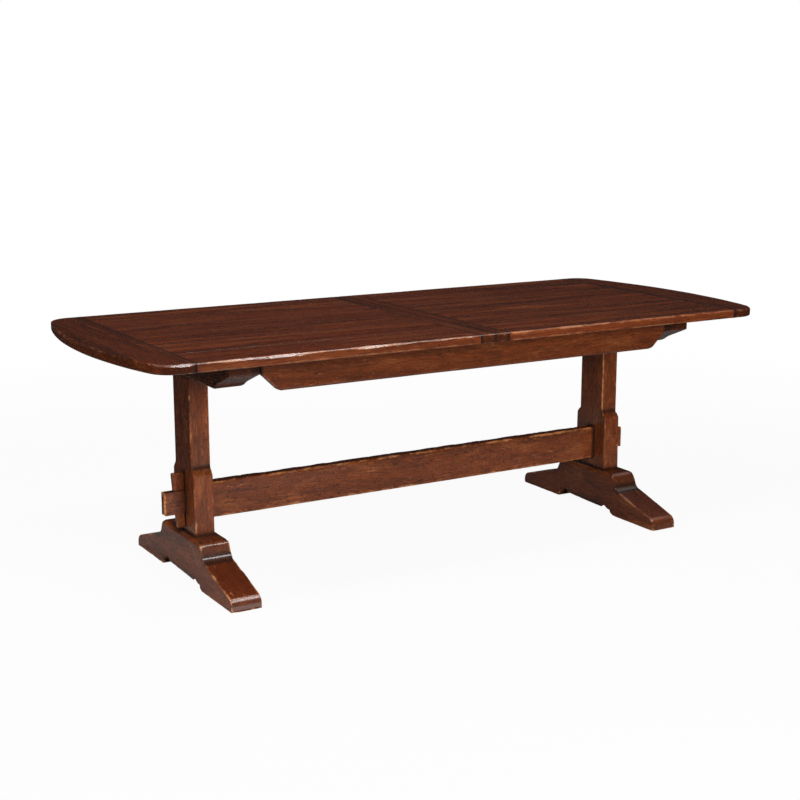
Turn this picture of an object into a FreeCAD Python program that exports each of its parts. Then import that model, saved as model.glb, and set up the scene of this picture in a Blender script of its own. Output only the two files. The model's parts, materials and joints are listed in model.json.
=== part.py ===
import FreeCAD, Part
import os
import Sketcher

# Trestle dining table with a top that parts at the middle and slides open on wooden runners.
# Millimetres. The origin is on the floor under the middle of the table, +X runs along it to the
# right, -Y is the front and +Z is up. Pieces that come in a left and a right are drawn at the left
# and the right one is turned half round.

SIZES = {
    # Top
    "table_length": (2258, "closed, over the middle of the bowed ends"),
    "table_width": (968, "over the straight long edges"),
    "table_height": (762, "floor to top surface"),
    "top_thickness": (28, "boards of the top"),
    "end_bow": (70, "middle of an end beyond its corners"),
    "corner_radius": (78, "corners of the top in plan"),
    "end_board_width": (168, "end board at its middle"),
    "batten_width": (51, "batten beside the split"),
    "board_count": (6, "field boards in each half"),
    "edge_round": (5, "worn outer edges of the top"),
    "split_gap": (1, "between the two halves when closed"),
    "split_round": (2, "upper edges at the split"),
    "tongue_thickness": (9, "tongues on the board ends"),
    "tongue_length": (25, "tongues on the board ends"),
    "tongue_setback": (40, "tongues stop short of the long edges"),
    "joint_fit": (0.15, "between a glued tenon or tongue and its socket, each side"),
    "socket_room": (1, "left at the bottom of a socket"),
    # Feet
    "trestle_spacing": (1569, "between the middles of the posts"),
    "foot_length": (752, "front toe to back toe"),
    "foot_thickness": (97, "along the table"),
    "foot_height": (150, "floor to the flat under the post"),
    "foot_flat": (294, "flat under the post, to the top of each step"),
    "foot_crease": (344, "between the creases at the bottom of the steps"),
    "crease_height": (97, "floor to the crease"),
    "toe_height": (36, "floor to the slope, at the tip of the toe"),
    "toe_round": (28, "nose of the toe"),
    "step_round": (11, "bullnose at the top of the step"),
    "crease_round": (14, "hollow at the bottom of the step"),
    "pad_length": (229, "each pad on the floor"),
    "arch_height": (22, "between the pads"),
    "arch_run": (26, "sloping end of the arch"),
    "arch_round": (18, "hollow of the arch's ends"),
    "trestle_round": (4, "worn edges of feet, posts and bearers"),
    # Posts
    "post_thickness": (64, "along the table"),
    "post_width": (125, "above the shoulder"),
    "shoulder_width": (160, "just below the shoulder"),
    "post_base_width": (167, "on the foot"),
    "shoulder_height": (336, "floor to the lower edge of the shoulder"),
    "shoulder_rise": (22, "height of the sloped shoulder"),
    "shoulder_round": (8, "both edges of the shoulder"),
    "post_tenon_width": (92, "tenons at both ends of a post"),
    "post_tenon_thickness": (28, "tenons at both ends of a post"),
    "post_tenon_length": (55, "tenons at both ends of a post"),
    # Bearers
    "bearer_length": (798, "front to back"),
    "bearer_thickness": (98, "along the table"),
    "bearer_height": (92, "under the top"),
    "bearer_end_height": (38, "upright end"),
    "bearer_slope_run": (87, "long slope of the end"),
    "bearer_slope_drop": (35, "long slope of the end"),
    "bearer_step_run": (26, "short step down to the flat underside"),
    "bearer_round": (14, "hollow and bullnose of the short step"),
    # Stretcher and wedges
    "stretcher_lift": (181, "floor to its lower edge"),
    "stretcher_height": (114, "lower to upper edge"),
    "stretcher_thickness": (38, "front to back"),
    "stretcher_round": (3, "worn long edges"),
    "tenon_rise": (25, "through tenon above the stretcher's lower edge"),
    "tenon_height": (72, "through tenon"),
    "tenon_thickness": (26, "through tenon"),
    "tenon_reach": (70, "through tenon past the post"),
    "tenon_chamfer": (4, "end of the through tenon"),
    "wedge_length": (175, "lower to upper end"),
    "wedge_width": (27, "at the lower end"),
    "wedge_taper": (14, "wider at the upper end"),
    "wedge_thickness": (12, "front to back"),
    "wedge_drop": (46, "lower end below the tenon"),
    "wedge_draw": (6, "slot behind the post's face, so that the wedge pulls"),
    "wedge_fit": (0.2, "between the wedge and what it bears on"),
    "wedge_round": (5, "upper and lower ends"),
    # Aprons
    "apron_thickness": (22, "front to back"),
    "apron_height": (92, "under the top"),
    "apron_end_height": (38, "upright end"),
    "apron_chamfer_run": (56, "sloped lower corner"),
    "apron_proud": (2, "face beyond the bearers' ends"),
    "apron_round": (4, "worn edges"),
    "apron_corner_round": (14, "where a sloped corner meets the lower edge"),
    "apron_tenon_length": (20, "stub tenon into the bearer"),
    "apron_tenon_height": (24, "stub tenon into the bearer"),
    "apron_tenon_thickness": (10, "stub tenon into the bearer"),
    # Slides
    "slide_travel": (229, "each half, for one leaf between them"),
    "stop_room": (0.5, "runner to bearer when fully open"),
    "run_clearance": (0.3, "between faces that slide"),
    "rail_width": (36, "front to back"),
    "rail_height": (50, "grooved rail"),
    "rail_housing": (25, "rail ends let into the bearers"),
    "groove_height": (14, "groove in each side of a rail"),
    "groove_depth": (10, "groove in each side of a rail"),
    "runner_width": (32, "front to back"),
    "runner_height": (46, "under the boards"),
    "runner_tail": (330, "runner past the split, under the other half"),
    "runner_relief": (2, "tail below the other half"),
    # Screws and dowels
    "screw_diameter": (4.5, "shank"),
    "screw_head_diameter": (9, "head"),
    "screw_head_height": (3.5, "head"),
    "screw_length": (44, "under the head"),
    "screw_bite": (16, "in the far piece"),
    "screw_fit": (0.15, "round the screw"),
    "screw_count": (4, "in each runner"),
    "screw_margin": (40, "from the runner's end and from the batten"),
    "dowel_diameter": (10, "alignment dowels in the split"),
    "dowel_length": (40, "half in each batten"),
    "dowel_count": (4, "along the split"),
    "dowel_spacing": (240, "along the split"),
    "dowel_glue": (0.1, "round a dowel in the half that keeps it"),
    "dowel_play": (0.3, "round a dowel in the half that leaves it"),
}

# Places worked out from the sizes, as expressions of the sheet
HALF_WIDTH = "(Sizes.table_width / 2)"
TOP_MIDDLE = "(Sizes.table_height - Sizes.top_thickness / 2)"
UNDERSIDE = "(Sizes.table_height - Sizes.top_thickness)"
FRAME_TOP = f"({UNDERSIDE} - Sizes.run_clearance)"
OUTER_JOINT = "(Sizes.table_length / 2 - Sizes.end_board_width)"
SPLIT_FACE = "(Sizes.split_gap / 2)"
INNER_JOINT = f"({SPLIT_FACE} + Sizes.batten_width)"
BOARD_WIDTH = "(Sizes.table_width / Sizes.board_count)"
TONGUE_END = f"({HALF_WIDTH} - Sizes.tongue_setback)"
BOW_RADIUS = f"(({HALF_WIDTH} ^ 2 + Sizes.end_bow ^ 2) / (2 * Sizes.end_bow))"
BOW_START = "(Sizes.table_length / 2 - Sizes.end_bow)"
POST_PLACE = "(Sizes.trestle_spacing / 2)"
POST_INNER = f"({POST_PLACE} - Sizes.post_thickness / 2)"
POST_OUTER = f"({POST_PLACE} + Sizes.post_thickness / 2)"
BEARER_INNER = f"({POST_PLACE} - Sizes.bearer_thickness / 2)"
BEARER_BOTTOM = f"({FRAME_TOP} - Sizes.bearer_height)"
TENON_BOTTOM = "(Sizes.stretcher_lift + Sizes.tenon_rise)"
TENON_TOP = f"({TENON_BOTTOM} + Sizes.tenon_height)"
WEDGE_BOTTOM = f"({TENON_BOTTOM} - Sizes.wedge_drop)"
WEDGE_TOP = f"({WEDGE_BOTTOM} + Sizes.wedge_length)"
APRON_FACE = "(Sizes.bearer_length / 2 + Sizes.apron_proud)"
APRON_MIDDLE = f"({APRON_FACE} - Sizes.apron_thickness / 2)"
APRON_TENON_MIDDLE = f"({FRAME_TOP} - Sizes.apron_end_height / 2)"
# A rail runs under the middle of the second board from each long edge
RAIL_PLACE = f"({HALF_WIDTH} - {BOARD_WIDTH} - {BOARD_WIDTH} / 2)"
RAIL_MIDDLE = f"({FRAME_TOP} - Sizes.rail_height / 2)"
RAIL_END = f"({BEARER_INNER} + Sizes.rail_housing)"
RAIL_SCREW = f"({BEARER_INNER} + Sizes.rail_housing / 2)"
RUNNER_START = f"({BEARER_INNER} - Sizes.slide_travel - Sizes.stop_room)"
RUNNER_BOTTOM = f"({UNDERSIDE} - Sizes.runner_height)"
FIRST_SCREW = f"({RUNNER_START} - Sizes.screw_margin)"
LAST_SCREW = f"({INNER_JOINT} + Sizes.screw_margin)"
SCREW_RUN = f"({FIRST_SCREW} - {LAST_SCREW})"
DOWEL_RUN = "(Sizes.dowel_spacing * (Sizes.dowel_count - 1))"

TOUCH = 0.01
LEFT, RIGHT = -1, 1
FRONT, BACK = -1, 1
ROWS = {FRONT: "front", BACK: "back"}
SIDES = {LEFT: "left", RIGHT: "right"}

document = FreeCAD.newDocument("TrestleTable")
sheet = document.addObject("Spreadsheet::Sheet", "Sizes")
pieces = []


def fill_sheet():
    """Write the driving sizes into the sheet, one row each."""
    for row, (alias, (size, meaning)) in enumerate(SIZES.items(), 1):
        sheet.set(f"A{row}", meaning)
        sheet.set(f"B{row}", str(size))
        sheet.setAlias(f"B{row}", alias)
    document.recompute()


def value(expression):
    """The number that an expression of the sheet gives now."""
    return float(sheet.evalExpression(expression))


def new_piece(label):
    """Start a separate piece, whose label names its file."""
    body = document.addObject("PartDesign::Body", label)
    body.Label = label
    pieces.append(body)
    return body


def sketch_on(body, role, offset="0"):
    """A sketch on one of the piece's own planes, moved along the plane's normal."""
    plane = next(item for item in body.Origin.OriginFeatures if item.Role == role)
    sketch = body.newObject("Sketcher::SketchObject", f"{body.Label}_sketch")
    sketch.AttachmentSupport = (plane, [""])
    sketch.MapMode = "FlatFace"
    sketch.setExpression("AttachmentOffset.Base.z", offset)
    return sketch


def bind(sketch, kind, geometry, vertex, expression):
    """Tie one coordinate of a sketch point to the sheet."""
    number = sketch.addConstraint(
        Sketcher.Constraint(kind, -1, 1, geometry, vertex, value(expression)))
    sketch.setExpression(f"Constraints[{number}]", expression)


def draw_outline(sketch, corners, bowed=None, radius=None):
    """Draw a closed outline through corners; the side after corner number bowed is an arc."""
    first = sketch.GeometryCount
    points = [FreeCAD.Vector(value(across), value(up), 0) for across, up in corners]
    following = points[1:] + points[:1]
    for number, (start, end) in enumerate(zip(points, following)):
        side = Part.LineSegment(start, end)
        if number == bowed:
            chord = end - start
            outwards = FreeCAD.Vector(chord.y, -chord.x, 0).normalize()
            sweep = value(radius)
            bow = sweep - (sweep ** 2 - (chord.Length / 2) ** 2) ** 0.5
            side = Part.Arc(start, (start + end) / 2 + outwards * bow, end)
        sketch.addGeometry(side)
    for number, (across, up) in enumerate(corners):
        before = first + (number - 1) % len(corners)
        sketch.addConstraint(Sketcher.Constraint("Coincident", before, 2, first + number, 1))
        bind(sketch, "DistanceX", first + number, 1, across)
        bind(sketch, "DistanceY", first + number, 1, up)
    if bowed is not None:
        number = sketch.addConstraint(Sketcher.Constraint("Radius", first + bowed, value(radius)))
        sketch.setExpression(f"Constraints[{number}]", radius)


def draw_rectangle(sketch, across, up):
    """Draw a rectangle between two places across and two places up."""
    (left, right), (low, high) = across, up
    draw_outline(sketch, [(left, low), (right, low), (right, high), (left, high)])


def draw_circle(sketch, across, up, diameter):
    """Draw a circle of a given diameter round a point."""
    centre = FreeCAD.Vector(value(across), value(up), 0)
    upwards = FreeCAD.Vector(0, 0, 1)
    circle = sketch.addGeometry(Part.Circle(centre, upwards, value(diameter) / 2))
    bind(sketch, "DistanceX", circle, 3, across)
    bind(sketch, "DistanceY", circle, 3, up)
    number = sketch.addConstraint(Sketcher.Constraint("Diameter", circle, value(diameter)))
    sketch.setExpression(f"Constraints[{number}]", diameter)


def both_ways(expression):
    """The same distance to either side of the middle."""
    return f"-({expression})", f"({expression})"


def about(middle, half):
    """From a half below a middle to a half above it."""
    return f"({middle} - ({half}))", f"({middle} + ({half}))"


def extrude(kind, body, sketch, length, symmetric=False, backwards=False):
    """Pad or pocket a sketch, and make sure that the piece really grew or shrank."""
    before = body.Tip.Shape.Volume if body.Tip else 0
    feature = body.newObject(f"PartDesign::{kind}", f"{body.Label}_{kind.lower()}")
    feature.Profile = sketch
    feature.SideType = "Symmetric" if symmetric else "One side"
    feature.Reversed = backwards
    feature.setExpression("Length", length)
    sketch.Visibility = False
    document.recompute()
    grown = feature.Shape.Volume - before
    if (grown > 0) != (kind == "Pad"):
        raise RuntimeError(f"{feature.Name} changed the volume by {grown:.1f}")
    return feature


def pad(body, sketch, length, **options):
    """Add the sketch's outline to the piece."""
    return extrude("Pad", body, sketch, length, **options)


def pocket(body, sketch, length, **options):
    """Cut the sketch's outline out of the piece."""
    return extrude("Pocket", body, sketch, length, **options)


def repeat(body, features, role, run, count):
    """Repeat features in a row along one of the piece's axes."""
    axis = next(item for item in body.Origin.OriginFeatures if item.Role == role)
    pattern = body.newObject("PartDesign::LinearPattern", f"{body.Label}_row")
    pattern.Originals = features
    pattern.Direction = (axis, [""])
    pattern.setExpression("Length", run)
    pattern.setExpression("Occurrences", count)
    body.Tip = pattern
    document.recompute()


def lies_on(edge, **places):
    """Whether a whole edge has the given coordinates."""
    box = edge.BoundBox
    return all(
        abs(getattr(box, f"{axis}{end}") - place) < TOUCH
        for axis, place in places.items() for end in ("Min", "Max"))


def dress_edges(kind, amount, body, size, chosen):
    """Fillet or chamfer the piece's edges that the test chooses."""
    base = body.Tip
    names = [f"Edge{number}" for number, edge in enumerate(base.Shape.Edges, 1) if chosen(edge)]
    if not names:
        raise RuntimeError(f"{body.Label} has no edge to dress")
    feature = body.newObject(f"PartDesign::{kind}", f"{body.Label}_{kind.lower()}")
    feature.Base = (base, names)
    feature.setExpression(amount, size)
    document.recompute()


def round_edges(body, radius, chosen):
    """Round the piece's edges that the test chooses."""
    dress_edges("Fillet", "Radius", body, radius, chosen)


def bevel_edges(body, size, chosen):
    """Chamfer the piece's edges that the test chooses."""
    dress_edges("Chamfer", "Size", body, size, chosen)


def stand(body, side, distance="0"):
    """Put a piece that was drawn for the left at its own end of the table."""
    turn = 180 if side == RIGHT else 0
    body.Placement.Rotation = FreeCAD.Rotation(FreeCAD.Vector(0, 0, 1), turn)
    body.setExpression("Placement.Base.x", f"{side} * {distance}")


def make_foot(side):
    """A foot: bullnosed steps, sloping toes, an arch between its pads and a mortise on top."""
    body = new_piece(f"foot_{SIDES[side]}")
    half_flat = "Sizes.foot_flat / 2"
    half_crease = "Sizes.foot_crease / 2"
    half_length = "Sizes.foot_length / 2"
    arch_foot = f"({half_length} - Sizes.pad_length)"
    arch_head = f"({arch_foot} - Sizes.arch_run)"
    right_half = [
        (arch_head, "Sizes.arch_height"), (arch_foot, "0"), (half_length, "0"),
        (half_length, "Sizes.toe_height"), (half_crease, "Sizes.crease_height"),
        (half_flat, "Sizes.foot_height")]
    left_half = [(f"-({across})", up) for across, up in reversed(right_half)]
    profile = sketch_on(body, "YZ_Plane")
    draw_outline(profile, right_half + left_half)
    pad(body, profile, "Sizes.foot_thickness", symmetric=True)
    hollows = (
        ("Sizes.toe_round", half_length, "Sizes.toe_height"),
        ("Sizes.crease_round", half_crease, "Sizes.crease_height"),
        ("Sizes.step_round", half_flat, "Sizes.foot_height"),
        ("Sizes.arch_round", arch_head, "Sizes.arch_height"))
    for radius, across, up in hollows:
        place = value(across)
        height = value(up)
        round_edges(body, radius, lambda edge: any(
            lies_on(edge, Y=way * place, Z=height) for way in (FRONT, BACK)))
    face = value("Sizes.foot_thickness") / 2
    arch = value("Sizes.arch_height")
    round_edges(body, "Sizes.trestle_round", lambda edge: edge.BoundBox.ZMax > arch + TOUCH and any(
        lies_on(edge, X=way * face) for way in (LEFT, RIGHT)))
    mortise = sketch_on(body, "XY_Plane", "Sizes.foot_height")
    draw_rectangle(
        mortise, both_ways("Sizes.post_tenon_thickness / 2 + Sizes.joint_fit"),
        both_ways("Sizes.post_tenon_width / 2 + Sizes.joint_fit"))
    pocket(body, mortise, "Sizes.post_tenon_length + Sizes.socket_room")
    stand(body, side, POST_PLACE)


def make_post(side):
    """A post: wider below its shoulder, tenoned at both ends and mortised for the stretcher."""
    body = new_piece(f"post_{SIDES[side]}")
    shoulder_top = "(Sizes.shoulder_height + Sizes.shoulder_rise)"
    right_half = [
        ("Sizes.post_base_width / 2", "Sizes.foot_height"),
        ("Sizes.shoulder_width / 2", "Sizes.shoulder_height"),
        ("Sizes.post_width / 2", shoulder_top), ("Sizes.post_width / 2", BEARER_BOTTOM)]
    left_half = [(f"-({across})", up) for across, up in reversed(right_half)]
    profile = sketch_on(body, "YZ_Plane")
    draw_outline(profile, right_half + left_half)
    pad(body, profile, "Sizes.post_thickness", symmetric=True)
    shoulders = (
        ("Sizes.shoulder_width / 2", "Sizes.shoulder_height"), ("Sizes.post_width / 2", shoulder_top))
    edges = [(value(across), value(up)) for across, up in shoulders]
    round_edges(body, "Sizes.shoulder_round", lambda edge: any(
        lies_on(edge, Y=way * across, Z=up) for across, up in edges for way in (FRONT, BACK)))
    face = value("Sizes.post_thickness") / 2
    round_edges(body, "Sizes.trestle_round", lambda edge: edge.BoundBox.ZLength > TOUCH and any(
        lies_on(edge, X=way * face) for way in (LEFT, RIGHT)))
    tenons = sketch_on(body, "YZ_Plane")
    draw_rectangle(
        tenons, both_ways("Sizes.post_tenon_width / 2"),
        ("Sizes.foot_height - Sizes.post_tenon_length", f"{BEARER_BOTTOM} + Sizes.post_tenon_length"))
    pad(body, tenons, "Sizes.post_tenon_thickness", symmetric=True)
    mortise = sketch_on(body, "YZ_Plane")
    draw_rectangle(
        mortise, both_ways("Sizes.tenon_thickness / 2 + Sizes.joint_fit"),
        (f"{TENON_BOTTOM} - Sizes.joint_fit", f"{TENON_TOP} + Sizes.joint_fit"))
    pocket(body, mortise, "2 * Sizes.post_thickness", symmetric=True)
    stand(body, side, POST_PLACE)


def make_bearer(side):
    """A bearer: the foot's outline upside down, with sockets for post, aprons and slide rails."""
    body = new_piece(f"bearer_{SIDES[side]}")
    half_length = "Sizes.bearer_length / 2"
    slope_start = f"({FRAME_TOP} - Sizes.bearer_end_height)"
    slope_end = f"({slope_start} - Sizes.bearer_slope_drop)"
    crease = f"({half_length} - Sizes.bearer_slope_run)"
    nose = f"({crease} - Sizes.bearer_step_run)"
    right_half = [
        (nose, BEARER_BOTTOM), (crease, slope_end), (half_length, slope_start), (half_length, FRAME_TOP)]
    left_half = [(f"-({across})", up) for across, up in reversed(right_half)]
    profile = sketch_on(body, "YZ_Plane")
    draw_outline(profile, right_half + left_half)
    pad(body, profile, "Sizes.bearer_thickness", symmetric=True)
    step = [(value(nose), value(BEARER_BOTTOM)), (value(crease), value(slope_end))]
    round_edges(body, "Sizes.bearer_round", lambda edge: any(
        lies_on(edge, Y=way * across, Z=up) for across, up in step for way in (FRONT, BACK)))
    inner = "Sizes.bearer_thickness / 2"
    faces = value(inner)
    below = value(slope_start)
    round_edges(body, "Sizes.trestle_round", lambda edge: edge.BoundBox.ZMax < below + TOUCH and any(
        lies_on(edge, X=way * faces) for way in (LEFT, RIGHT)))
    mortise = sketch_on(body, "XY_Plane", BEARER_BOTTOM)
    draw_rectangle(
        mortise, both_ways("Sizes.post_tenon_thickness / 2 + Sizes.joint_fit"),
        both_ways("Sizes.post_tenon_width / 2 + Sizes.joint_fit"))
    pocket(body, mortise, "Sizes.post_tenon_length + Sizes.socket_room", backwards=True)
    housings = sketch_on(body, "XY_Plane", FRAME_TOP)
    screw_pilots = sketch_on(body, "XY_Plane", f"{FRAME_TOP} - Sizes.rail_height")
    apron_sockets = sketch_on(body, "YZ_Plane", inner)
    for row in ROWS:
        rail_middle = f"{row} * {RAIL_PLACE}"
        draw_rectangle(
            housings, (f"{inner} - Sizes.rail_housing - Sizes.joint_fit", f"{inner} + Sizes.joint_fit"),
            about(rail_middle, "Sizes.rail_width / 2 + Sizes.joint_fit"))
        draw_circle(
            screw_pilots, f"{inner} - Sizes.rail_housing / 2", rail_middle,
            "Sizes.screw_diameter + 2 * Sizes.screw_fit")
        draw_rectangle(
            apron_sockets,
            about(f"{row} * {APRON_MIDDLE}", "Sizes.apron_tenon_thickness / 2 + Sizes.joint_fit"),
            about(APRON_TENON_MIDDLE, "Sizes.apron_tenon_height / 2 + Sizes.joint_fit"))
    pocket(body, housings, "Sizes.rail_height")
    pocket(body, screw_pilots, "Sizes.screw_bite + Sizes.socket_room")
    pocket(body, apron_sockets, "Sizes.apron_tenon_length + Sizes.socket_room")
    stand(body, side, POST_PLACE)


def make_stretcher():
    """The stretcher, with through tenons slotted for the wedges."""
    body = new_piece("stretcher")
    shoulders = sketch_on(body, "XZ_Plane")
    draw_rectangle(
        shoulders, both_ways(POST_INNER),
        ("Sizes.stretcher_lift", "Sizes.stretcher_lift + Sizes.stretcher_height"))
    pad(body, shoulders, "Sizes.stretcher_thickness", symmetric=True)
    face = value("Sizes.stretcher_thickness / 2")
    round_edges(body, "Sizes.stretcher_round", lambda edge: edge.BoundBox.ZLength < TOUCH and any(
        lies_on(edge, Y=way * face) for way in (FRONT, BACK)))
    tenons = sketch_on(body, "XZ_Plane")
    tenon_end = f"({POST_OUTER} + Sizes.tenon_reach)"
    draw_rectangle(tenons, both_ways(tenon_end), (TENON_BOTTOM, TENON_TOP))
    pad(body, tenons, "Sizes.tenon_thickness", symmetric=True)
    end = value(tenon_end)
    bevel_edges(body, "Sizes.tenon_chamfer", lambda edge: any(
        lies_on(edge, X=way * end) for way in (LEFT, RIGHT)))
    slots = sketch_on(body, "XZ_Plane")
    seat = f"({POST_OUTER} + Sizes.wedge_width + 2 * Sizes.wedge_fit)"
    for side in SIDES:
        draw_outline(slots, [
            (f"{side} * ({POST_OUTER} - Sizes.wedge_draw)", WEDGE_BOTTOM), (f"{side} * {seat}", WEDGE_BOTTOM),
            (f"{side} * ({seat} + Sizes.wedge_taper)", WEDGE_TOP),
            (f"{side} * ({POST_OUTER} - Sizes.wedge_draw)", WEDGE_TOP)])
    pocket(body, slots, "Sizes.wedge_thickness + 2 * Sizes.wedge_fit", symmetric=True)


def make_wedge(side):
    """A wedge: upright against the post, tapered on the side that bears on the tenon's slot."""
    body = new_piece(f"wedge_{SIDES[side]}")
    inner = "-(Sizes.post_thickness / 2 + Sizes.wedge_fit)"
    outer_bottom = f"({inner} - Sizes.wedge_width)"
    outer_top = f"({outer_bottom} - Sizes.wedge_taper)"
    profile = sketch_on(body, "XZ_Plane")
    draw_outline(profile, [
        (outer_bottom, WEDGE_BOTTOM), (inner, WEDGE_BOTTOM), (inner, WEDGE_TOP), (outer_top, WEDGE_TOP)])
    pad(body, profile, "Sizes.wedge_thickness", symmetric=True)
    ends = (value(WEDGE_BOTTOM), value(WEDGE_TOP))
    round_edges(body, "Sizes.wedge_round", lambda edge: edge.BoundBox.YLength > TOUCH and any(
        lies_on(edge, Z=end) for end in ends))
    stand(body, side, POST_PLACE)


def make_apron(row):
    """An apron between the bearers, with sloped lower corners and a stub tenon at each end."""
    body = new_piece(f"apron_{ROWS[row]}")
    bottom = f"({FRAME_TOP} - Sizes.apron_height)"
    slope_start = f"({FRAME_TOP} - Sizes.apron_end_height)"
    slope_end = f"({BEARER_INNER} - Sizes.apron_chamfer_run)"
    right_half = [
        (slope_end, bottom), (BEARER_INNER, slope_start), (BEARER_INNER, FRAME_TOP)]
    left_half = [(f"-{across}", up) for across, up in reversed(right_half)]
    middle = f"-{row} * {APRON_MIDDLE}"
    profile = sketch_on(body, "XZ_Plane", middle)
    draw_outline(profile, right_half + left_half)
    pad(body, profile, "Sizes.apron_thickness", symmetric=True)
    corner = (value(slope_end), value(bottom))
    round_edges(body, "Sizes.apron_corner_round", lambda edge: any(
        lies_on(edge, X=way * corner[0], Z=corner[1]) for way in (LEFT, RIGHT)))
    top = value(FRAME_TOP)
    faces = [value(f"{row} * {APRON_MIDDLE} + {way} * Sizes.apron_thickness / 2") for way in (-1, 1)]
    round_edges(body, "Sizes.apron_round", lambda edge: edge.BoundBox.ZMin < top - TOUCH and any(
        lies_on(edge, Y=face) for face in faces))
    tenons = sketch_on(body, "XZ_Plane", middle)
    draw_rectangle(
        tenons, both_ways(f"{BEARER_INNER} + Sizes.apron_tenon_length"),
        about(APRON_TENON_MIDDLE, "Sizes.apron_tenon_height / 2"))
    pad(body, tenons, "Sizes.apron_tenon_thickness", symmetric=True)


def make_slide_rail(row):
    """A slide rail, grooved along both sides and let into the bearers."""
    body = new_piece(f"slide_rail_{ROWS[row]}")
    middle = f"{row} * {RAIL_PLACE}"
    near, far = about(middle, "Sizes.rail_width / 2")
    near_groove, far_groove = about(middle, "Sizes.rail_width / 2 - Sizes.groove_depth")
    low, high = about(RAIL_MIDDLE, "Sizes.rail_height / 2")
    groove_low, groove_high = about(RAIL_MIDDLE, "Sizes.groove_height / 2")
    section = sketch_on(body, "YZ_Plane")
    draw_outline(section, [
        (near, low), (far, low), (far, groove_low), (far_groove, groove_low), (far_groove, groove_high),
        (far, groove_high), (far, high), (near, high), (near, groove_high), (near_groove, groove_high),
        (near_groove, groove_low), (near, groove_low)])
    pad(body, section, f"2 * {RAIL_END}", symmetric=True)
    bores = sketch_on(body, "XY_Plane", FRAME_TOP)
    shanks = sketch_on(body, "XY_Plane", FRAME_TOP)
    for side in SIDES:
        place = f"{side} * {RAIL_SCREW}"
        draw_circle(bores, place, middle, "Sizes.screw_head_diameter + 2 * Sizes.screw_fit")
        draw_circle(shanks, place, middle, "Sizes.screw_diameter + 2 * Sizes.screw_fit")
    pocket(body, bores, "Sizes.rail_height + Sizes.screw_bite - Sizes.screw_length")
    pocket(body, shanks, "Sizes.rail_height")


def make_screws(label, places, seat, downwards):
    """Wood screws at several places, their heads seated at one height."""
    body = new_piece(label)
    body.AllowCompound = True
    features = []
    for diameter, length, backwards in (
            ("Sizes.screw_diameter", "Sizes.screw_length", downwards),
            ("Sizes.screw_head_diameter", "Sizes.screw_head_height", not downwards)):
        sketch = sketch_on(body, "XY_Plane", seat)
        for across, up in places:
            draw_circle(sketch, across, up, diameter)
        features.append(pad(body, sketch, length, backwards=backwards))
    return body, features


def make_rail_screws():
    """One screw down through each end of each slide rail into the bearer."""
    places = [(f"{side} * {RAIL_SCREW}", f"{row} * {RAIL_PLACE}") for side in SIDES for row in ROWS]
    seat = f"{FRAME_TOP} - Sizes.rail_height - Sizes.screw_bite + Sizes.screw_length"
    make_screws("rail_screws", places, seat, True)


def make_board(side, number):
    """A field board with a tongue on each end; number counts from the front of the left half."""
    count = round(value("Sizes.board_count"))
    shown = number if side == LEFT else count + 1 - number
    body = new_piece(f"{SIDES[side]}_board_{shown}")
    middle = f"({number} - (Sizes.board_count + 1) / 2) * {BOARD_WIDTH}"
    outer, inner = f"-{OUTER_JOINT}", f"-{INNER_JOINT}"
    outer_tip, inner_tip = f"({outer} - Sizes.tongue_length)", f"({inner} + Sizes.tongue_length)"
    low, high = about(TOP_MIDDLE, "Sizes.tongue_thickness / 2")
    profile = sketch_on(body, "XZ_Plane", f"-({middle})")
    draw_outline(profile, [
        (outer, UNDERSIDE), (inner, UNDERSIDE), (inner, low), (inner_tip, low), (inner_tip, high),
        (inner, high), (inner, "Sizes.table_height"), (outer, "Sizes.table_height"), (outer, high),
        (outer_tip, high), (outer_tip, low), (outer, low)])
    pad(body, profile, BOARD_WIDTH, symmetric=True)
    if number in (1, count):
        finish_outer_board(body, FRONT if number == 1 else BACK, outer, inner)
    if number in (2, count - 1):
        drill_board(body, FRONT if number == 2 else BACK, side)
    stand(body, side)


def finish_outer_board(body, row, outer, inner):
    """Cut the tongues back from the long edge and round that edge."""
    setback = sketch_on(body, "XY_Plane", "Sizes.table_height")
    edge_line = f"{row} * ({HALF_WIDTH} + Sizes.socket_room)"
    reach = "Sizes.tongue_length + Sizes.socket_room"
    draw_rectangle(setback, (f"{outer} - ({reach})", outer), (f"{row} * {TONGUE_END}", edge_line))
    draw_rectangle(setback, (inner, f"{inner} + {reach}"), (f"{row} * {TONGUE_END}", edge_line))
    pocket(body, setback, "Sizes.top_thickness")
    edge_place = value(f"{row} * {HALF_WIDTH}")
    heights = (value(UNDERSIDE), value("Sizes.table_height"))
    round_edges(body, "Sizes.edge_round", lambda edge: any(
        lies_on(edge, Y=edge_place, Z=height) for height in heights))


def drill_board(body, row, side):
    """Pilot holes in a board's underside for the screws of the runner below it."""
    pilots = sketch_on(body, "XY_Plane", UNDERSIDE)
    draw_circle(
        pilots, f"-{FIRST_SCREW}", runner_middle(row, side), "Sizes.screw_diameter + 2 * Sizes.screw_fit")
    hole = pocket(body, pilots, "Sizes.screw_bite + Sizes.socket_room", backwards=True)
    repeat(body, [hole], "X_Axis", SCREW_RUN, "Sizes.screw_count")


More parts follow.
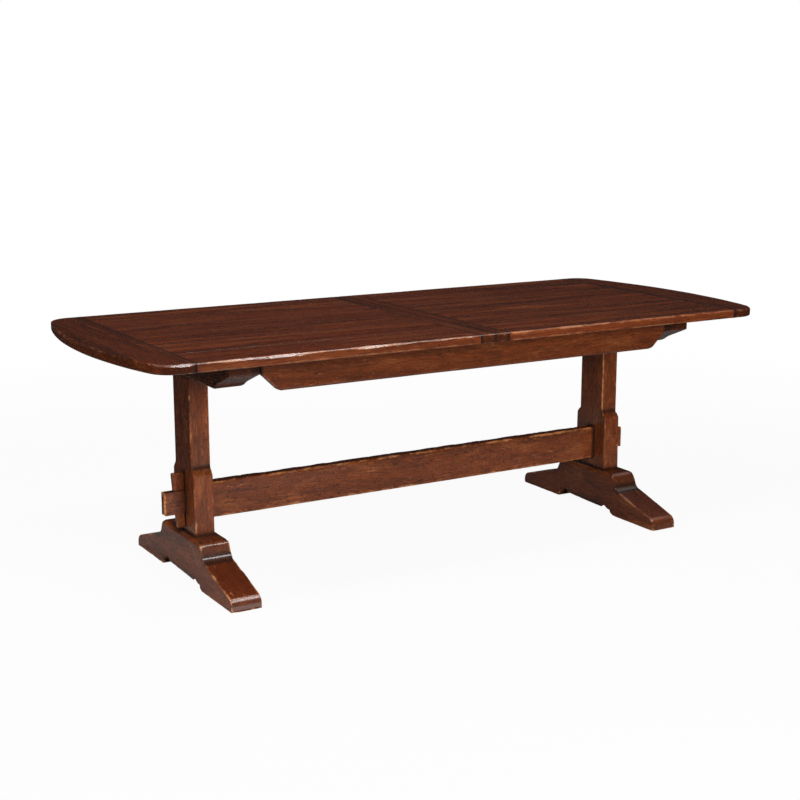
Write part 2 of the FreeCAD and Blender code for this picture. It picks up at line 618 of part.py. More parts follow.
def make_end_board(side):
    """An end board: bowed outer edge, round corners, and a groove for the boards' tongues."""
    body = new_piece(f"{SIDES[side]}_end_board")
    joint, bow_start = f"-{OUTER_JOINT}", f"-{BOW_START}"
    plan = sketch_on(body, "XY_Plane", UNDERSIDE)
    draw_outline(plan, [
        (joint, f"-{HALF_WIDTH}"), (joint, HALF_WIDTH), (bow_start, HALF_WIDTH),
        (bow_start, f"-{HALF_WIDTH}")], bowed=2, radius=BOW_RADIUS)
    pad(body, plan, "Sizes.top_thickness")
    corner_place = value(bow_start)
    round_edges(body, "Sizes.corner_radius", lambda edge: edge.BoundBox.ZLength > TOUCH and lies_on(
        edge, X=corner_place))
    joint_place = value(joint)
    heights = (value(UNDERSIDE), value("Sizes.table_height"))
    round_edges(body, "Sizes.edge_round", lambda edge: not lies_on(edge, X=joint_place) and any(
        lies_on(edge, Z=height) for height in heights))
    cut_groove(body, joint, False)
    stand(body, side)


def cut_groove(body, joint, inwards):
    """Groove a joint face for the tongues of the boards, stopped short of the long edges."""
    groove = sketch_on(body, "YZ_Plane", joint)
    draw_rectangle(
        groove, both_ways(f"{TONGUE_END} + Sizes.joint_fit"),
        about(TOP_MIDDLE, "Sizes.tongue_thickness / 2 + Sizes.joint_fit"))
    pocket(body, groove, "Sizes.tongue_length + Sizes.socket_room", backwards=inwards)


def make_centre_batten(side):
    """The batten beside the split, grooved for the boards and bored for the alignment dowels."""
    body = new_piece(f"{SIDES[side]}_centre_batten")
    plan = sketch_on(body, "XY_Plane", UNDERSIDE)
    draw_rectangle(plan, (f"-{INNER_JOINT}", f"-{SPLIT_FACE}"), both_ways(HALF_WIDTH))
    pad(body, plan, "Sizes.top_thickness")
    edge_place = value(HALF_WIDTH)
    heights = (value(UNDERSIDE), value("Sizes.table_height"))
    round_edges(body, "Sizes.edge_round", lambda edge: any(
        lies_on(edge, Y=way * edge_place, Z=height) for way in (FRONT, BACK) for height in heights))
    split_place = value(f"-{SPLIT_FACE}")
    round_edges(body, "Sizes.split_round", lambda edge: lies_on(edge, X=split_place, Z=heights[1]))
    cut_groove(body, f"-{INNER_JOINT}", True)
    play = "Sizes.dowel_glue" if side == LEFT else "Sizes.dowel_play"
    bores = sketch_on(body, "YZ_Plane", f"-{SPLIT_FACE}")
    draw_circle(bores, f"-{DOWEL_RUN} / 2", TOP_MIDDLE, f"Sizes.dowel_diameter + 2 * {play}")
    bore = pocket(body, bores, "Sizes.dowel_length / 2 + Sizes.socket_room")
    repeat(body, [bore], "Y_Axis", DOWEL_RUN, "Sizes.dowel_count")
    stand(body, side)


def make_dowels():
    """Alignment dowels, kept by the left half and entering the right one."""
    body = new_piece("alignment_dowels")
    body.AllowCompound = True
    section = sketch_on(body, "YZ_Plane")
    draw_circle(section, f"-{DOWEL_RUN} / 2", TOP_MIDDLE, "Sizes.dowel_diameter")
    dowel = pad(body, section, "Sizes.dowel_length", symmetric=True)
    repeat(body, [dowel], "Y_Axis", DOWEL_RUN, "Sizes.dowel_count")


def runner_face(row, side):
    """The runner's face towards its rail: the left runners lie outside the rails, the right inside."""
    outwards = -side * row
    return f"({row} * {RAIL_PLACE} + {outwards} * (Sizes.rail_width / 2 + Sizes.run_clearance))"


def runner_middle(row, side):
    """The middle of a runner, front to back."""
    return f"({runner_face(row, side)} + {-side * row} * Sizes.runner_width / 2)"


def make_runner(side, row):
    """A runner under one half, with a tongue in the rail's groove and a tail under the other half."""
    shown = row if side == LEFT else -row
    body = new_piece(f"{SIDES[side]}_runner_{ROWS[shown]}")
    outwards = -side * row
    face = runner_face(row, side)
    back = f"({face} + {outwards} * Sizes.runner_width)"
    tip = f"({face} - {outwards} * Sizes.groove_depth)"
    low, high = about(RAIL_MIDDLE, "Sizes.groove_height / 2 - Sizes.run_clearance")
    section = sketch_on(body, "YZ_Plane", f"-{RUNNER_START}")
    draw_outline(section, [
        (face, UNDERSIDE), (back, UNDERSIDE), (back, RUNNER_BOTTOM), (face, RUNNER_BOTTOM),
        (face, low), (tip, low), (tip, high), (face, high)])
    pad(body, section, f"{RUNNER_START} + Sizes.runner_tail")
    relief = sketch_on(body, "XY_Plane", UNDERSIDE)
    draw_rectangle(
        relief, (f"-{INNER_JOINT}", "Sizes.runner_tail + Sizes.socket_room"),
        about(runner_middle(row, side), "Sizes.runner_width / 2 + Sizes.socket_room"))
    pocket(body, relief, "Sizes.runner_relief")
    holes = []
    for diameter, depth in (
            ("Sizes.screw_head_diameter", "Sizes.runner_height + Sizes.screw_bite - Sizes.screw_length"),
            ("Sizes.screw_diameter", "Sizes.runner_height")):
        sketch = sketch_on(body, "XY_Plane", RUNNER_BOTTOM)
        draw_circle(sketch, f"-{FIRST_SCREW}", runner_middle(row, side), f"{diameter} + 2 * Sizes.screw_fit")
        holes.append(pocket(body, sketch, depth, backwards=True))
    repeat(body, holes, "X_Axis", SCREW_RUN, "Sizes.screw_count")
    stand(body, side)


def make_runner_screws(side):
    """The screws up through both runners of one half into its boards."""
    places = [(f"-{FIRST_SCREW}", runner_middle(row, side)) for row in ROWS]
    seat = f"{UNDERSIDE} + Sizes.screw_bite - Sizes.screw_length"
    body, features = make_screws(f"{SIDES[side]}_runner_screws", places, seat, False)
    repeat(body, features, "X_Axis", SCREW_RUN, "Sizes.screw_count")
    stand(body, side)


def make_half(side):
    """One half of the top, with its runners."""
    for number in range(1, round(value("Sizes.board_count")) + 1):
        make_board(side, number)
    make_end_board(side)
    make_centre_batten(side)
    for row in ROWS:
        make_runner(side, row)
    make_runner_screws(side)


def make_table():
    """Every piece of the table."""
    for side in SIDES:
        make_foot(side)
        make_post(side)
        make_bearer(side)
        make_wedge(side)
        make_half(side)
    make_stretcher()
    for row in ROWS:
        make_apron(row)
        make_slide_rail(row)
    make_rail_screws()
    make_dowels()


def write_pieces():
    """Check every object and every piece, then write each piece to its own file."""
    document.recompute()
    for item in document.Objects:
        if {"Invalid", "Error"} & set(item.State):
            raise RuntimeError(f"{item.Name} is {item.State}")
    for body in pieces:
        if body.Shape.isNull() or not body.Shape.isValid():
            raise RuntimeError(f"{body.Label} has no valid shape")
    os.makedirs("parts", exist_ok=True)
    for body in pieces:
        body.Shape.exportStep(f"parts/{body.Label}.step")


fill_sheet()
make_table()
write_pieces()
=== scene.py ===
import json
import math
import random

import bmesh
import bpy
import numpy as np
from bpy.props import FloatProperty, FloatVectorProperty, PointerProperty
from mathutils import Matrix, Vector, noise
from mathutils.bvhtree import BVHTree


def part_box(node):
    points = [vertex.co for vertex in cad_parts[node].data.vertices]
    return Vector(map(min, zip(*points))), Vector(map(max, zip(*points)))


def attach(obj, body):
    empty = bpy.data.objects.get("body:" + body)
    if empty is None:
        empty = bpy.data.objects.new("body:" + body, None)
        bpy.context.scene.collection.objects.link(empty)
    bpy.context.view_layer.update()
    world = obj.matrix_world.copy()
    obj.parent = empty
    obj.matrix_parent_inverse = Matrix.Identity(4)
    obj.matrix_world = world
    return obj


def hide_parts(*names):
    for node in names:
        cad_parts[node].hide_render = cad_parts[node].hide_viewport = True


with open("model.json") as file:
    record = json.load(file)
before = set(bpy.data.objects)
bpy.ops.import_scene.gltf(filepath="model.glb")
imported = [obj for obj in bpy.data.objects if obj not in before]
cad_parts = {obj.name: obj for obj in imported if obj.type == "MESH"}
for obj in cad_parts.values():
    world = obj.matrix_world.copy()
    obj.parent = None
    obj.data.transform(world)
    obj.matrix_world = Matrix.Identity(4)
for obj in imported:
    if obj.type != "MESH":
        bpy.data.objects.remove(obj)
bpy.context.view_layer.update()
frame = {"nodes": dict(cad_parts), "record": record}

# Trestle dining table in stained, varnished and hand-worn wood. Metres, with the origin on the floor
# under the middle of the table, +X along it to the right, -Y the front and +Z up.

bl_info = {
    "name": "Trestle dining table",
    "version": (1, 0, 0),
    "blender": (4, 5, 0),
    "location": "View3D > Sidebar > Table",
    "description": "Dresses the packed trestle table in worn, stained wood and sets a plain studio",
    "category": "Object",
}

SIDES = {"left": -1, "right": 1}
ROWS = ("front", "back")
AXES = ("X", "Y", "Z")
BODY_OF = {node: body for body, nodes in frame["record"]["behaviour"]["bodies"].items() for node in nodes}
BOXES = {node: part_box(node) for node in frame["nodes"]}
# Distances below which two places count as one: on a piece as drawn, in a mesh that was cut into cells, and
# in a mesh as packed or under the knife
TOUCH = 1e-4
WELD = 1e-5
HAIR = 1e-6
# An edge that turns by more than this is an arris, and an inner corner past the second angle holds dark
# glazing and painted shade
SHARP = math.radians(35)
HOLLOW = math.radians(4)
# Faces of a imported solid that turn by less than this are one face, and edges past this length are eased
FLAT = math.radians(1)
LONG_EDGE = 0.03
# A cutter stands proud of the piece that it cuts, and a socket is so much deeper than its dowel reaches
PROUD = 0.01
SOCKET_ROOM = 0.001


# Properties

def length(name, default, description):
    """A length in metres that a user can change."""
    return FloatProperty(name=name, description=description, default=default, unit="LENGTH", precision=4)


def share(name, default, description):
    """A share from none to all."""
    return FloatProperty(
        name=name, description=description, default=default, min=0, max=1, subtype="FACTOR")


def colour(name, default, description):
    """A stain or paint colour, linear."""
    return FloatVectorProperty(
        name=name, description=description, default=default, size=3, min=0, max=1, subtype="COLOR")


def power(name, default, description):
    """The power of a lamp in watts."""
    return FloatProperty(name=name, description=description, default=default, unit="POWER")


def angle(name, default, description):
    """An angle, given in degrees and kept in radians."""
    return FloatProperty(
        name=name, description=description, default=math.radians(default), subtype="ANGLE")


class TableShape(bpy.types.PropertyGroup):
    """Profile sizes of the pieces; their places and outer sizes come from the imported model."""

    end_bow: length("End bow", 0.070, "Middle of an end beyond its corners")
    corner_radius: length("Corner radius", 0.078, "Corners of the top in plan")
    top_round: length("Top round", 0.005, "Worn outer edges of the top")
    split_gap: length("Split gap", 0.0001, "Between the battens at the split")
    split_round: length("Split round", 0.002, "Upper edges at the split")
    joint_ease: length("Joint ease", 0.0004, "Arris beside a joint of the top")
    foot_flat: length("Foot flat", 0.294, "Flat under the post")
    foot_crease: length("Foot crease", 0.344, "Between the creases at the bottom of the steps")
    crease_height: length("Crease height", 0.097, "Floor to the crease")
    toe_height: length("Toe height", 0.036, "Floor to the slope at the tip of the toe")
    toe_round: length("Toe round", 0.028, "Nose of the toe")
    step_round: length("Step round", 0.015, "Bullnose at the top of the step")
    crease_round: length("Crease round", 0.028, "Hollow at the bottom of the step")
    pad_length: length("Pad length", 0.229, "Each pad on the floor")
    arch_height: length("Arch height", 0.022, "Between the pads")
    arch_run: length("Arch run", 0.026, "Sloping end of the arch")
    arch_round: length("Arch round", 0.018, "Hollow of the arch's ends")
    trestle_round: length("Trestle round", 0.004, "Worn edges of feet, posts, bearers and aprons")
    post_width: length("Post width", 0.125, "Above the shoulder")
    shoulder_width: length("Shoulder width", 0.160, "Just below the shoulder")
    base_width: length("Base width", 0.167, "Post on the foot")
    shoulder_height: length("Shoulder height", 0.336, "Floor to the lower edge of the shoulder")
    shoulder_rise: length("Shoulder rise", 0.022, "Height of the sloped shoulder")
    shoulder_round: length("Shoulder round", 0.008, "Both edges of the shoulder")
    bearer_end: length("Bearer end", 0.038, "Upright end of a bearer")
    bearer_slope: length("Bearer slope", 0.087, "Run of the long slope")
    bearer_drop: length("Bearer drop", 0.035, "Fall of the long slope")
    bearer_step: length("Bearer step", 0.026, "Run of the short step")
    bearer_round: length("Bearer round", 0.014, "Hollow and bullnose of the short step")
    apron_end: length("Apron end", 0.038, "Upright end of an apron")
    apron_slope: length("Apron slope", 0.056, "Run of the sloped lower corner")
    apron_round: length("Apron round", 0.014, "Where the slope meets the lower edge")
    stretcher_round: length("Stretcher round", 0.003, "Worn long edges")
    tenon_rise: length("Tenon rise", 0.025, "Through tenon above the stretcher's lower edge")
    tenon_height: length("Tenon height", 0.072, "Through tenon")
    tenon_thickness: length("Tenon thickness", 0.026, "Through tenon")
    tenon_chamfer: length("Tenon chamfer", 0.004, "End of the through tenon")
    wedge_foot: length("Wedge foot", 0.027, "Width of a wedge at its lower end")
    wedge_fit: length("Wedge fit", 0.0002, "Round a wedge in its slot")
    wedge_draw: length("Wedge draw", 0.006, "Slot behind the post's face")
    wedge_round: length("Wedge round", 0.005, "Ends of a wedge")
    wedge_ease: length("Wedge ease", 0.002, "Long edges of a wedge")
    slide_ease: length("Slide ease", 0.0008, "Arrises of rails and runners")
    dowel_play: length("Dowel play", 0.0003, "Round a dowel in the half that leaves it")
    dowel_chamfer: length("Dowel chamfer", 0.0015, "Ends of a dowel")


class WearSettings(bpy.types.PropertyGroup):
    """How the surfaces were worn by hand."""

    cell: length("Cell", 0.007, "Spacing of the cuts that let a face take wear")
    edge_depth: length("Edge depth", 0.0042, "Deepest rubbing of an edge")
    edge_reach: length("Edge reach", 0.0095, "How far from an edge the stain is rubbed thin")
    wave_height: length("Wave height", 0.00045, "Unevenness of a planed face")
    dip_depth: length("Dip depth", 0.0045, "Hollow worn into the top's front edge")


class WoodColours(bpy.types.PropertyGroup):
    """Stains and bare wood."""

    top_body: colour("Top", (0.107, 0.0192, 0.0056), "Stain of the top")
    top_dark: colour("Top dark", (0.030, 0.0068, 0.0034), "Dark streaks of the top")
    top_light: colour("Top light", (0.240, 0.060, 0.0165), "Light streaks and edges of the top")
    trestle_body: colour("Trestle", (0.192, 0.0420, 0.0105), "Stain of the trestles and aprons")
    trestle_dark: colour("Trestle dark", (0.050, 0.0138, 0.0058), "Dark streaks of the trestles")
    trestle_light: colour("Trestle light", (0.300, 0.083, 0.0215), "Light patches of the trestles")
    worn: colour("Worn edge", (0.430, 0.172, 0.068), "Wood laid bare along the edges")
    # Also the colour of the painted shade beside other pieces and in inner corners
    glaze_and_shade: colour("Glaze", (0.014, 0.0078, 0.0062), "Dark glaze in pores, specks and corners")
    # Painted shade rather than stain: the trestles' upward faces are darkened towards this colour, as if the
    # top shaded them
    shade: colour("Upper faces", (0.062, 0.0095, 0.0030), "Darker stain on the trestles' upper faces")
    slide: colour("Slides", (0.300, 0.170, 0.085), "Plain hardwood of the slides")
    dowel: colour("Dowels", (0.420, 0.270, 0.140), "Bare dowels")


class StudioSettings(bpy.types.PropertyGroup):
    """Camera and lights."""

    eye: FloatVectorProperty(
        name="Eye", description="Place of the camera", default=(-2.4035, -3.9743, 1.4513),
        size=3, subtype="TRANSLATION")
    turn: angle("Turn", 30.67, "Camera turned to the right")
    tilt: angle("Tilt", 11.92, "Camera tipped down")
    lens: FloatProperty(
        name="Lens", description="Focal length on a 36 mm sensor", default=64.33, unit="CAMERA")
    front_power: power("Front", 172, "Large low softbox in front")
    strip_power: power("Strip", 31, "Strip lamp over the front edge")
    side_power: power("Side", 92, "Softbox high on the left")
    fill_power: power("Fill", 80, "Softbox behind")
    card_power: power("Card", 50, "High card in front that only shows in highlights")
    toe_card_power: power("Toe card", 0.4, "Small card on the floor that shows in the left toe")
    post_card_power: power("Post card", 1.2, "Card on the floor that shows in the left post")
    room_light: share("Room", 0.07, "Even light from the room")


# Modelling

def place(axis, across, up, along):
    """A point from its two places in a profile and its place along the profile's axis."""
    return Vector({"X": (along, across, up), "Y": (across, along, up), "Z": (across, up, along)}[axis])


def prism(axis, profile, start, end):
    """A solid of one outline, drawn out along an axis."""
    bm = bmesh.new()
    face = bm.faces.new([bm.verts.new(place(axis, across, up, start)) for across, up in profile])
    grown = bmesh.ops.extrude_face_region(bm, geom=[face])["geom"]
    moved = [item for item in grown if isinstance(item, bmesh.types.BMVert)]
    bmesh.ops.translate(bm, verts=moved, vec=place(axis, 0, 0, end - start))
    bmesh.ops.recalc_face_normals(bm, faces=bm.faces[:])
    return bm


def block(low, high):
    """A plain board between two corners."""
    outline = [(low.x, low.y), (high.x, low.y), (high.x, high.y), (low.x, high.y)]
    return prism("Z", outline, low.z, high.z)


def mirrored(half):
    """A whole outline from its right half."""
    return half + [(-across, up) for across, up in reversed(half)]


def runs(edge, axis):
    """Whether the ends of an edge lie apart along an axis."""
    first, last = (vert.co[AXES.index(axis)] for vert in edge.verts)
    return abs(first - last) > TOUCH


def lies_at(edge, axis, distance):
    """Whether both ends of an edge lie so far out along an axis, either way."""
    return all(abs(abs(vert.co[AXES.index(axis)]) - distance) < TOUCH for vert in edge.verts)


def bevel(bm, edges, width, segments):
    """Bevel edges with a round profile."""
    if not edges:
        raise RuntimeError("no edge to bevel")
    bmesh.ops.bevel(
        bm, geom=edges, offset=width, offset_type="OFFSET", segments=segments, profile=0.5,
        affect="EDGES", material=-1, clamp_overlap=True)


def round_corner(bm, axis, corner, radius):
    """Round a corner of a prism's outline, and the mirrored corner with it."""
    sides = [name for name in AXES if name != axis]
    chosen = [
        edge for edge in bm.edges
        if all(lies_at(edge, name, abs(distance)) for name, distance in zip(sides, corner))]
    turn = chosen[0].calc_face_angle()
    bevel(bm, chosen, radius * math.tan(turn / 2), segments=6)


def sawn(axis, half, start, end, rounds):
    """A piece sawn to a mirrored outline, with some of its corners rounded."""
    bm = prism(axis, mirrored(half), start, end)
    for corner, radius in rounds.items():
        round_corner(bm, axis, corner, radius)
    return bm


def ease(bm, width, segments):
    """Ease all sharp edges of a piece and give back where they ran."""
    edges = sharp_edges(bm)
    lines = arrises(edges)
    bevel(bm, edges, width, segments)
    return lines


def sharp_edges(bm):
    """The edges where two faces meet at a clear angle."""
    return [edge for edge in bm.edges if edge.is_manifold and edge.calc_face_angle() > SHARP]


def arrises(edges):
    """The ends of edges and the way that each one faces, as three arrays."""
    kept = [edge for edge in edges if edge.calc_length() > TOUCH]
    starts = np.array([edge.verts[0].co[:] for edge in kept])
    ends = np.array([edge.verts[1].co[:] for edge in kept])
    normals = [sum((face.normal for face in edge.link_faces), Vector()) for edge in kept]
    facing = np.array([normal.normalized()[:] for normal in normals])
    return starts, ends, facing


def hollow_edges(bm):
    """The edges along the inner corners of a piece."""
    return [edge for edge in bm.edges if edge.is_manifold and edge.calc_face_angle_signed() < -HOLLOW]


def carve(bm, cutter):
    """Cut one solid out of another."""
    items = []
    for solid in (bm, cutter):
        mesh = bpy.data.meshes.new("carving")
        solid.to_mesh(mesh)
        solid.free()
        items.append(bpy.data.objects.new("carving", mesh))
        bpy.context.scene.collection.objects.link(items[-1])
    cut = items[0].modifiers.new("carve", "BOOLEAN")
    cut.operation = "DIFFERENCE"
    cut.solver = "EXACT"
    cut.object = items[1]
    bpy.context.view_layer.update()
    carved = items[0].evaluated_get(bpy.context.evaluated_depsgraph_get())
    result = bmesh.new()
    result.from_mesh(carved.data)
    for item in items:
        mesh = item.data
        bpy.data.objects.remove(item)
        bpy.data.meshes.remove(mesh)
    return result


def divide(bm, step):
    """Cut a piece into cells about one step wide, longest way first."""
    points = np.array([vert.co[:] for vert in bm.verts])
    low, high = points.min(0), points.max(0)
    for axis in np.argsort(low - high):
        count = max(1, round((high[axis] - low[axis]) / step))
        normal = Vector([float(i == axis) for i in range(3)])
        for number in range(1, count):
            where = low[axis] + (high[axis] - low[axis]) * number / count
            bmesh.ops.bisect_plane(
                bm, geom=bm.verts[:] + bm.edges[:] + bm.faces[:], dist=HAIR,
                plane_co=normal * where, plane_no=normal)
    bmesh.ops.remove_doubles(bm, verts=bm.verts[:], dist=WELD)


# Wear

# Nothing is rubbed nearer than this to another piece, and everything is so much farther on
COVERED = 0.002
EXPOSED = 0.008
# Dark glazing and painted shade are thinner in a hollow, as if another piece lay so far away
HOLLOW_BACK = 0.003
# A piece without hollows is taken to be this far from one
NO_HOLLOW = 1.0
# An edge is rubbed to this distance round it, and to this share of its length from its middle
RUB_REACH = 0.03
RUB_SPAN = 0.55
# Strokes, nicks and waves to the metre, the strength of a stroke, and how rare nicks are
STROKES = 11
NICKS = 55
WAVES = 7
STROKE_STRENGTH = 0.75
NICK_RARITY = 0.15
# Stain along an edge is lost a little sooner than wood, and least where no stroke went
STAIN_LOSS = 0.3
LEAST_BARED = 0.45
# Farthest heart of the log along the grain, and its range across it
HEART_ALONG = 4
HEART_ACROSS = (0.05, 0.14)


def trees_of_nodes():
    """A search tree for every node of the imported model."""
    depsgraph = bpy.context.evaluated_depsgraph_get()
    return {name: BVHTree.FromObject(item, depsgraph) for name, item in frame["nodes"].items()}


NEIGHBOURS = trees_of_nodes()


def gap_to_others(node, points, reach):
    """How far each point of a piece is from the nearest other piece, up to a reach."""
    gaps = np.full(len(points), reach)
    for other, tree in NEIGHBOURS.items():
        if other == node:
            continue
        low, high = BOXES[other]
        near = np.all((points > np.array(low) - reach) & (points < np.array(high) + reach), axis=1)
        for index in np.flatnonzero(near):
            found = tree.find_nearest(Vector(points[index]), reach)
            if found[3] is not None:
                gaps[index] = min(gaps[index], found[3])
    return gaps


def rubbing(point):
    """How hard a place was rubbed, from none to all, in long strokes with small nicks."""
    stroke = STROKE_STRENGTH * (0.5 + noise.noise(point * STROKES))
    nick = noise.noise(point * NICKS) - NICK_RARITY
    return min(1.0, max(0.0, stroke) + max(0.0, nick))


def nearest_on_line(points, start, end):
    """For each point its share of the way along a line, and the nearest place on the line."""
    run = end - start
    along = ((points - start) @ run) / (run @ run)
    return along, start + np.clip(along, 0, 1)[:, None] * run


def gap_to_lines(points, lines):
    """How far each point is from the nearest of some lines."""
    gaps = np.full(len(points), NO_HOLLOW)
    for start, end in zip(*lines[:2]):
        foot = nearest_on_line(points, start, end)[1]
        gaps = np.minimum(gaps, np.linalg.norm(points - foot, axis=1))
    return gaps


def rub_edges(points, lines, free, deepest, deeper):
    """Rub flats of changing depth along the edges."""
    for start, end, facing in zip(*lines):
        along, foot = nearest_on_line(points, start, end)
        offset = points - foot
        beside = (np.abs(along - 0.5) < RUB_SPAN) & (np.linalg.norm(offset, axis=1) < RUB_REACH)
        for index in np.flatnonzero(beside):
            spot = Vector(foot[index])
            depth = free[index] * (deepest * rubbing(spot) + (deeper(spot) if deeper else 0))
            short = depth + offset[index] @ facing
            if short > 0:
                points[index] -= short * facing


def read_points(mesh, kind):
    """The places or the normals of a mesh's points, one to a row."""
    values = np.empty(len(mesh.vertices) * 3)
    mesh.vertices.foreach_get(kind, values)
    return values.reshape(-1, 3)


def weather(mesh, node, lines, hollows, joints_and_shade_reach, rub_share, deeper):
    """Rub down the edges of a piece, leave its faces slightly uneven and note where it was worn, where it
    meets other pieces and where painted shade falls beside them and in hollows.
    """
    wear = bpy.context.scene.table_wear
    points = read_points(mesh, "co")
    normals = read_points(mesh, "normal")
    gap = gap_to_others(node, points, max(joints_and_shade_reach, COVERED + EXPOSED))
    free = np.clip((gap - COVERED) / EXPOSED, 0, 1)
    rub = np.array([rubbing(Vector(point)) for point in points])
    wave = np.array([noise.noise(Vector(point) * WAVES) for point in points])
    edge = gap_to_lines(points, lines)
    rub_edges(points, lines, free, wear.edge_depth * rub_share, deeper)
    points += normals * (wear.wave_height * (wave - 0.5) * free)[:, None]
    mesh.vertices.foreach_set("co", points.ravel())
    bared = min(1, rub_share + STAIN_LOSS)
    near_edge = np.exp(-(edge / (wear.edge_reach * bared)) ** 2) * free
    note(mesh, "edge", "FLOAT", near_edge * (LEAST_BARED + (1 - LEAST_BARED) * rub) * bared)
    # Dark joint lines, and painted shade beside other pieces and in inner corners, from the gaps to them
    gap = np.minimum(gap, gap_to_lines(points, hollows) + HOLLOW_BACK)
    note(mesh, "contact", "FLOAT", np.clip(1 - gap / joints_and_shade_reach, 0, 1))
    mesh.update()


def note(mesh, name, kind, values):
    """Keep a value for every point of a mesh, for its material to read."""
    layer = mesh.attributes.new(name, kind, "POINT")
    layer.data.foreach_set("vector" if kind == "FLOAT_VECTOR" else "value", np.ravel(values))


def heart_of(node, grain):
    """Where the heart of the log lay from which a piece was sawn."""
    draw = random.Random(node)
    low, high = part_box(node)
    heart = (low + high) / 2
    for axis, name in enumerate(AXES):
        if name == grain:
            heart[axis] += draw.uniform(-HEART_ALONG, HEART_ALONG)
        else:
            heart[axis] += draw.choice((-1, 1)) * draw.uniform(*HEART_ACROSS)
    return heart


# Lighter or darker than the wood's mean; other pieces take a tone by chance, within a range. The left post's
# higher tone is painted light: a lighter copy of the posts' stain where light falls on it
TONES = {
    "apron": -1.3, "bearer": -2.3, "post": 0.9, "foot": 0.8, "stretcher": 0.2, "wedge": -0.3, "slide": 0.0,
    "left_end_board": -2.2, "post_left": 1.6}
TONE_RANGE = (-0.6, 0.6)


def tone_of(node):
    """How light a piece took the stain."""
    by_chance = random.Random(node + " tone").uniform(*TONE_RANGE)
    return TONES.get(node, TONES.get(node.split("_")[0], by_chance))


# Wood, way of the grain, how far the dark joint line and painted shade reach from a neighbour, and share of
# the full rubbing
KINDS = {
    "board": ("top_wood", "X", 0.004, 1.0), "end_board": ("top_wood", "Y", 0.020, 0.5),
    "batten": ("top_wood", "Y", 0.020, 0.7), "dowel": ("dowel_wood", "X", 0.002, 0.1),
    "apron": ("trestle_wood", "X", 0.020, 0.45), "bearer": ("trestle_wood", "Y", 0.020, 0.3),
    "post": ("trestle_wood", "Z", 0.020, 0.45), "foot": ("trestle_wood", "Y", 0.030, 0.55),
    "stretcher": ("trestle_wood", "X", 0.020, 0.7), "wedge": ("trestle_wood", "Z", 0.004, 0.3),
    "slide": ("slide_wood", "X", 0.004, 0.2)}


def finish_piece(bm, node, kind, lines, deeper=None):
    """Turn a modelled solid into a worn piece that stands for its node."""
    slot, grain, joints_and_shade_reach, rub_share = KINDS[kind]
    mesh = bpy.data.meshes.new(f"worn_{node}")
    hollows = arrises(hollow_edges(bm))
    divide(bm, bpy.context.scene.table_wear.cell)
    bm.to_mesh(mesh)
    bm.free()
    weather(mesh, node, lines, hollows, joints_and_shade_reach, rub_share, deeper)
    note(mesh, "heart", "FLOAT_VECTOR", np.tile(heart_of(node, grain)[:], len(mesh.vertices)))
    note(mesh, "tone", "FLOAT", np.full(len(mesh.vertices), tone_of(node)))
    mesh.polygons.foreach_set("use_smooth", [True] * len(mesh.polygons))
    mesh.set_sharp_from_angle(angle=SHARP)
    piece = bpy.data.objects.new(f"worn_{node}", mesh)
    bpy.context.scene.collection.objects.link(piece)
    mesh.materials.append(wood(slot, grain))
    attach(piece, BODY_OF[node])
    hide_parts(node)
    return piece


# Materials

def add(tree, kind, inputs=(), **settings):
    """Add a node, set it up and join its inputs."""
    made = tree.nodes.new(kind)
    for name, setting in settings.items():
        setattr(made, name, setting)
    named = inputs.items() if isinstance(inputs, dict) else enumerate(inputs)
    for socket, given in named:
        if isinstance(given, bpy.types.NodeSocket):
            tree.links.new(given, made.inputs[socket])
        else:
            made.inputs[socket].default_value = given
    return made


def calculate(tree, operation, *values):
    """One sum of the material."""
    return add(tree, "ShaderNodeMath", values, operation=operation).outputs[0]


def combine(tree, operation, *vectors, output="Vector"):
    """One sum of vectors."""
    return add(tree, "ShaderNodeVectorMath", vectors, operation=operation).outputs[output]


def between(tree, value, low, high, first=0.0, last=1.0):
    """Ease a value from first to last as it goes from low to high."""
    names = ("Value", "From Min", "From Max", "To Min", "To Max")
    inputs = dict(zip(names, (value, low, high, first, last)))
    return add(tree, "ShaderNodeMapRange", inputs, interpolation_type="SMOOTHSTEP").outputs[0]


def blend(tree, factor, first, second):
    """Lay a second colour over a first one."""
    return add(tree, "ShaderNodeMix", {0: factor, 6: first, 7: second}, data_type="RGBA").outputs[2]


def cloud(tree, vector, stretch, detail, roughness=0.55):
    """Noise with so many lumps to the metre each way."""
    scaled = combine(tree, "MULTIPLY", vector, stretch)
    inputs = {"Vector": scaled, "Scale": 1.0, "Detail": detail, "Roughness": roughness}
    return add(tree, "ShaderNodeTexNoise", inputs).outputs


def new_group(name, inputs, outputs):
    """Start a shader node group with named sockets."""
    tree = bpy.data.node_groups.new(name, "ShaderNodeTree")
    for way, sockets in (("INPUT", inputs), ("OUTPUT", outputs)):
        for label, kind in sockets.items():
            tree.interface.new_socket(label, in_out=way, socket_type=f"NodeSocket{kind}")
    entry = tree.nodes.new("NodeGroupInput").outputs
    leave = tree.nodes.new("NodeGroupOutput").inputs
    return tree, entry, leave


# Marks along the grain: lumps to the metre along it and both ways across, detail, and the noise at which
# a mark starts and is full
THREADS = {
    "Streaks": ((1.8, 34, 34), 7.0, 0.42, 0.60), "Flecks": ((26, 190, 190), 3.0, 0.50, 0.68),
    "Fibres": ((9, 330, 330), 3.0, 0.30, 0.70), "Pores": ((34, 820, 820), 1.0, 0.62, 0.70)}
THREAD_ROUGHNESS = 0.6
# Bends of the log to the metre, and how far it sways across the grain, in metres
LOG_BENDS = (1.3, 5, 5)
LOG_SWAY = (0.0, 0.09, 0.09)


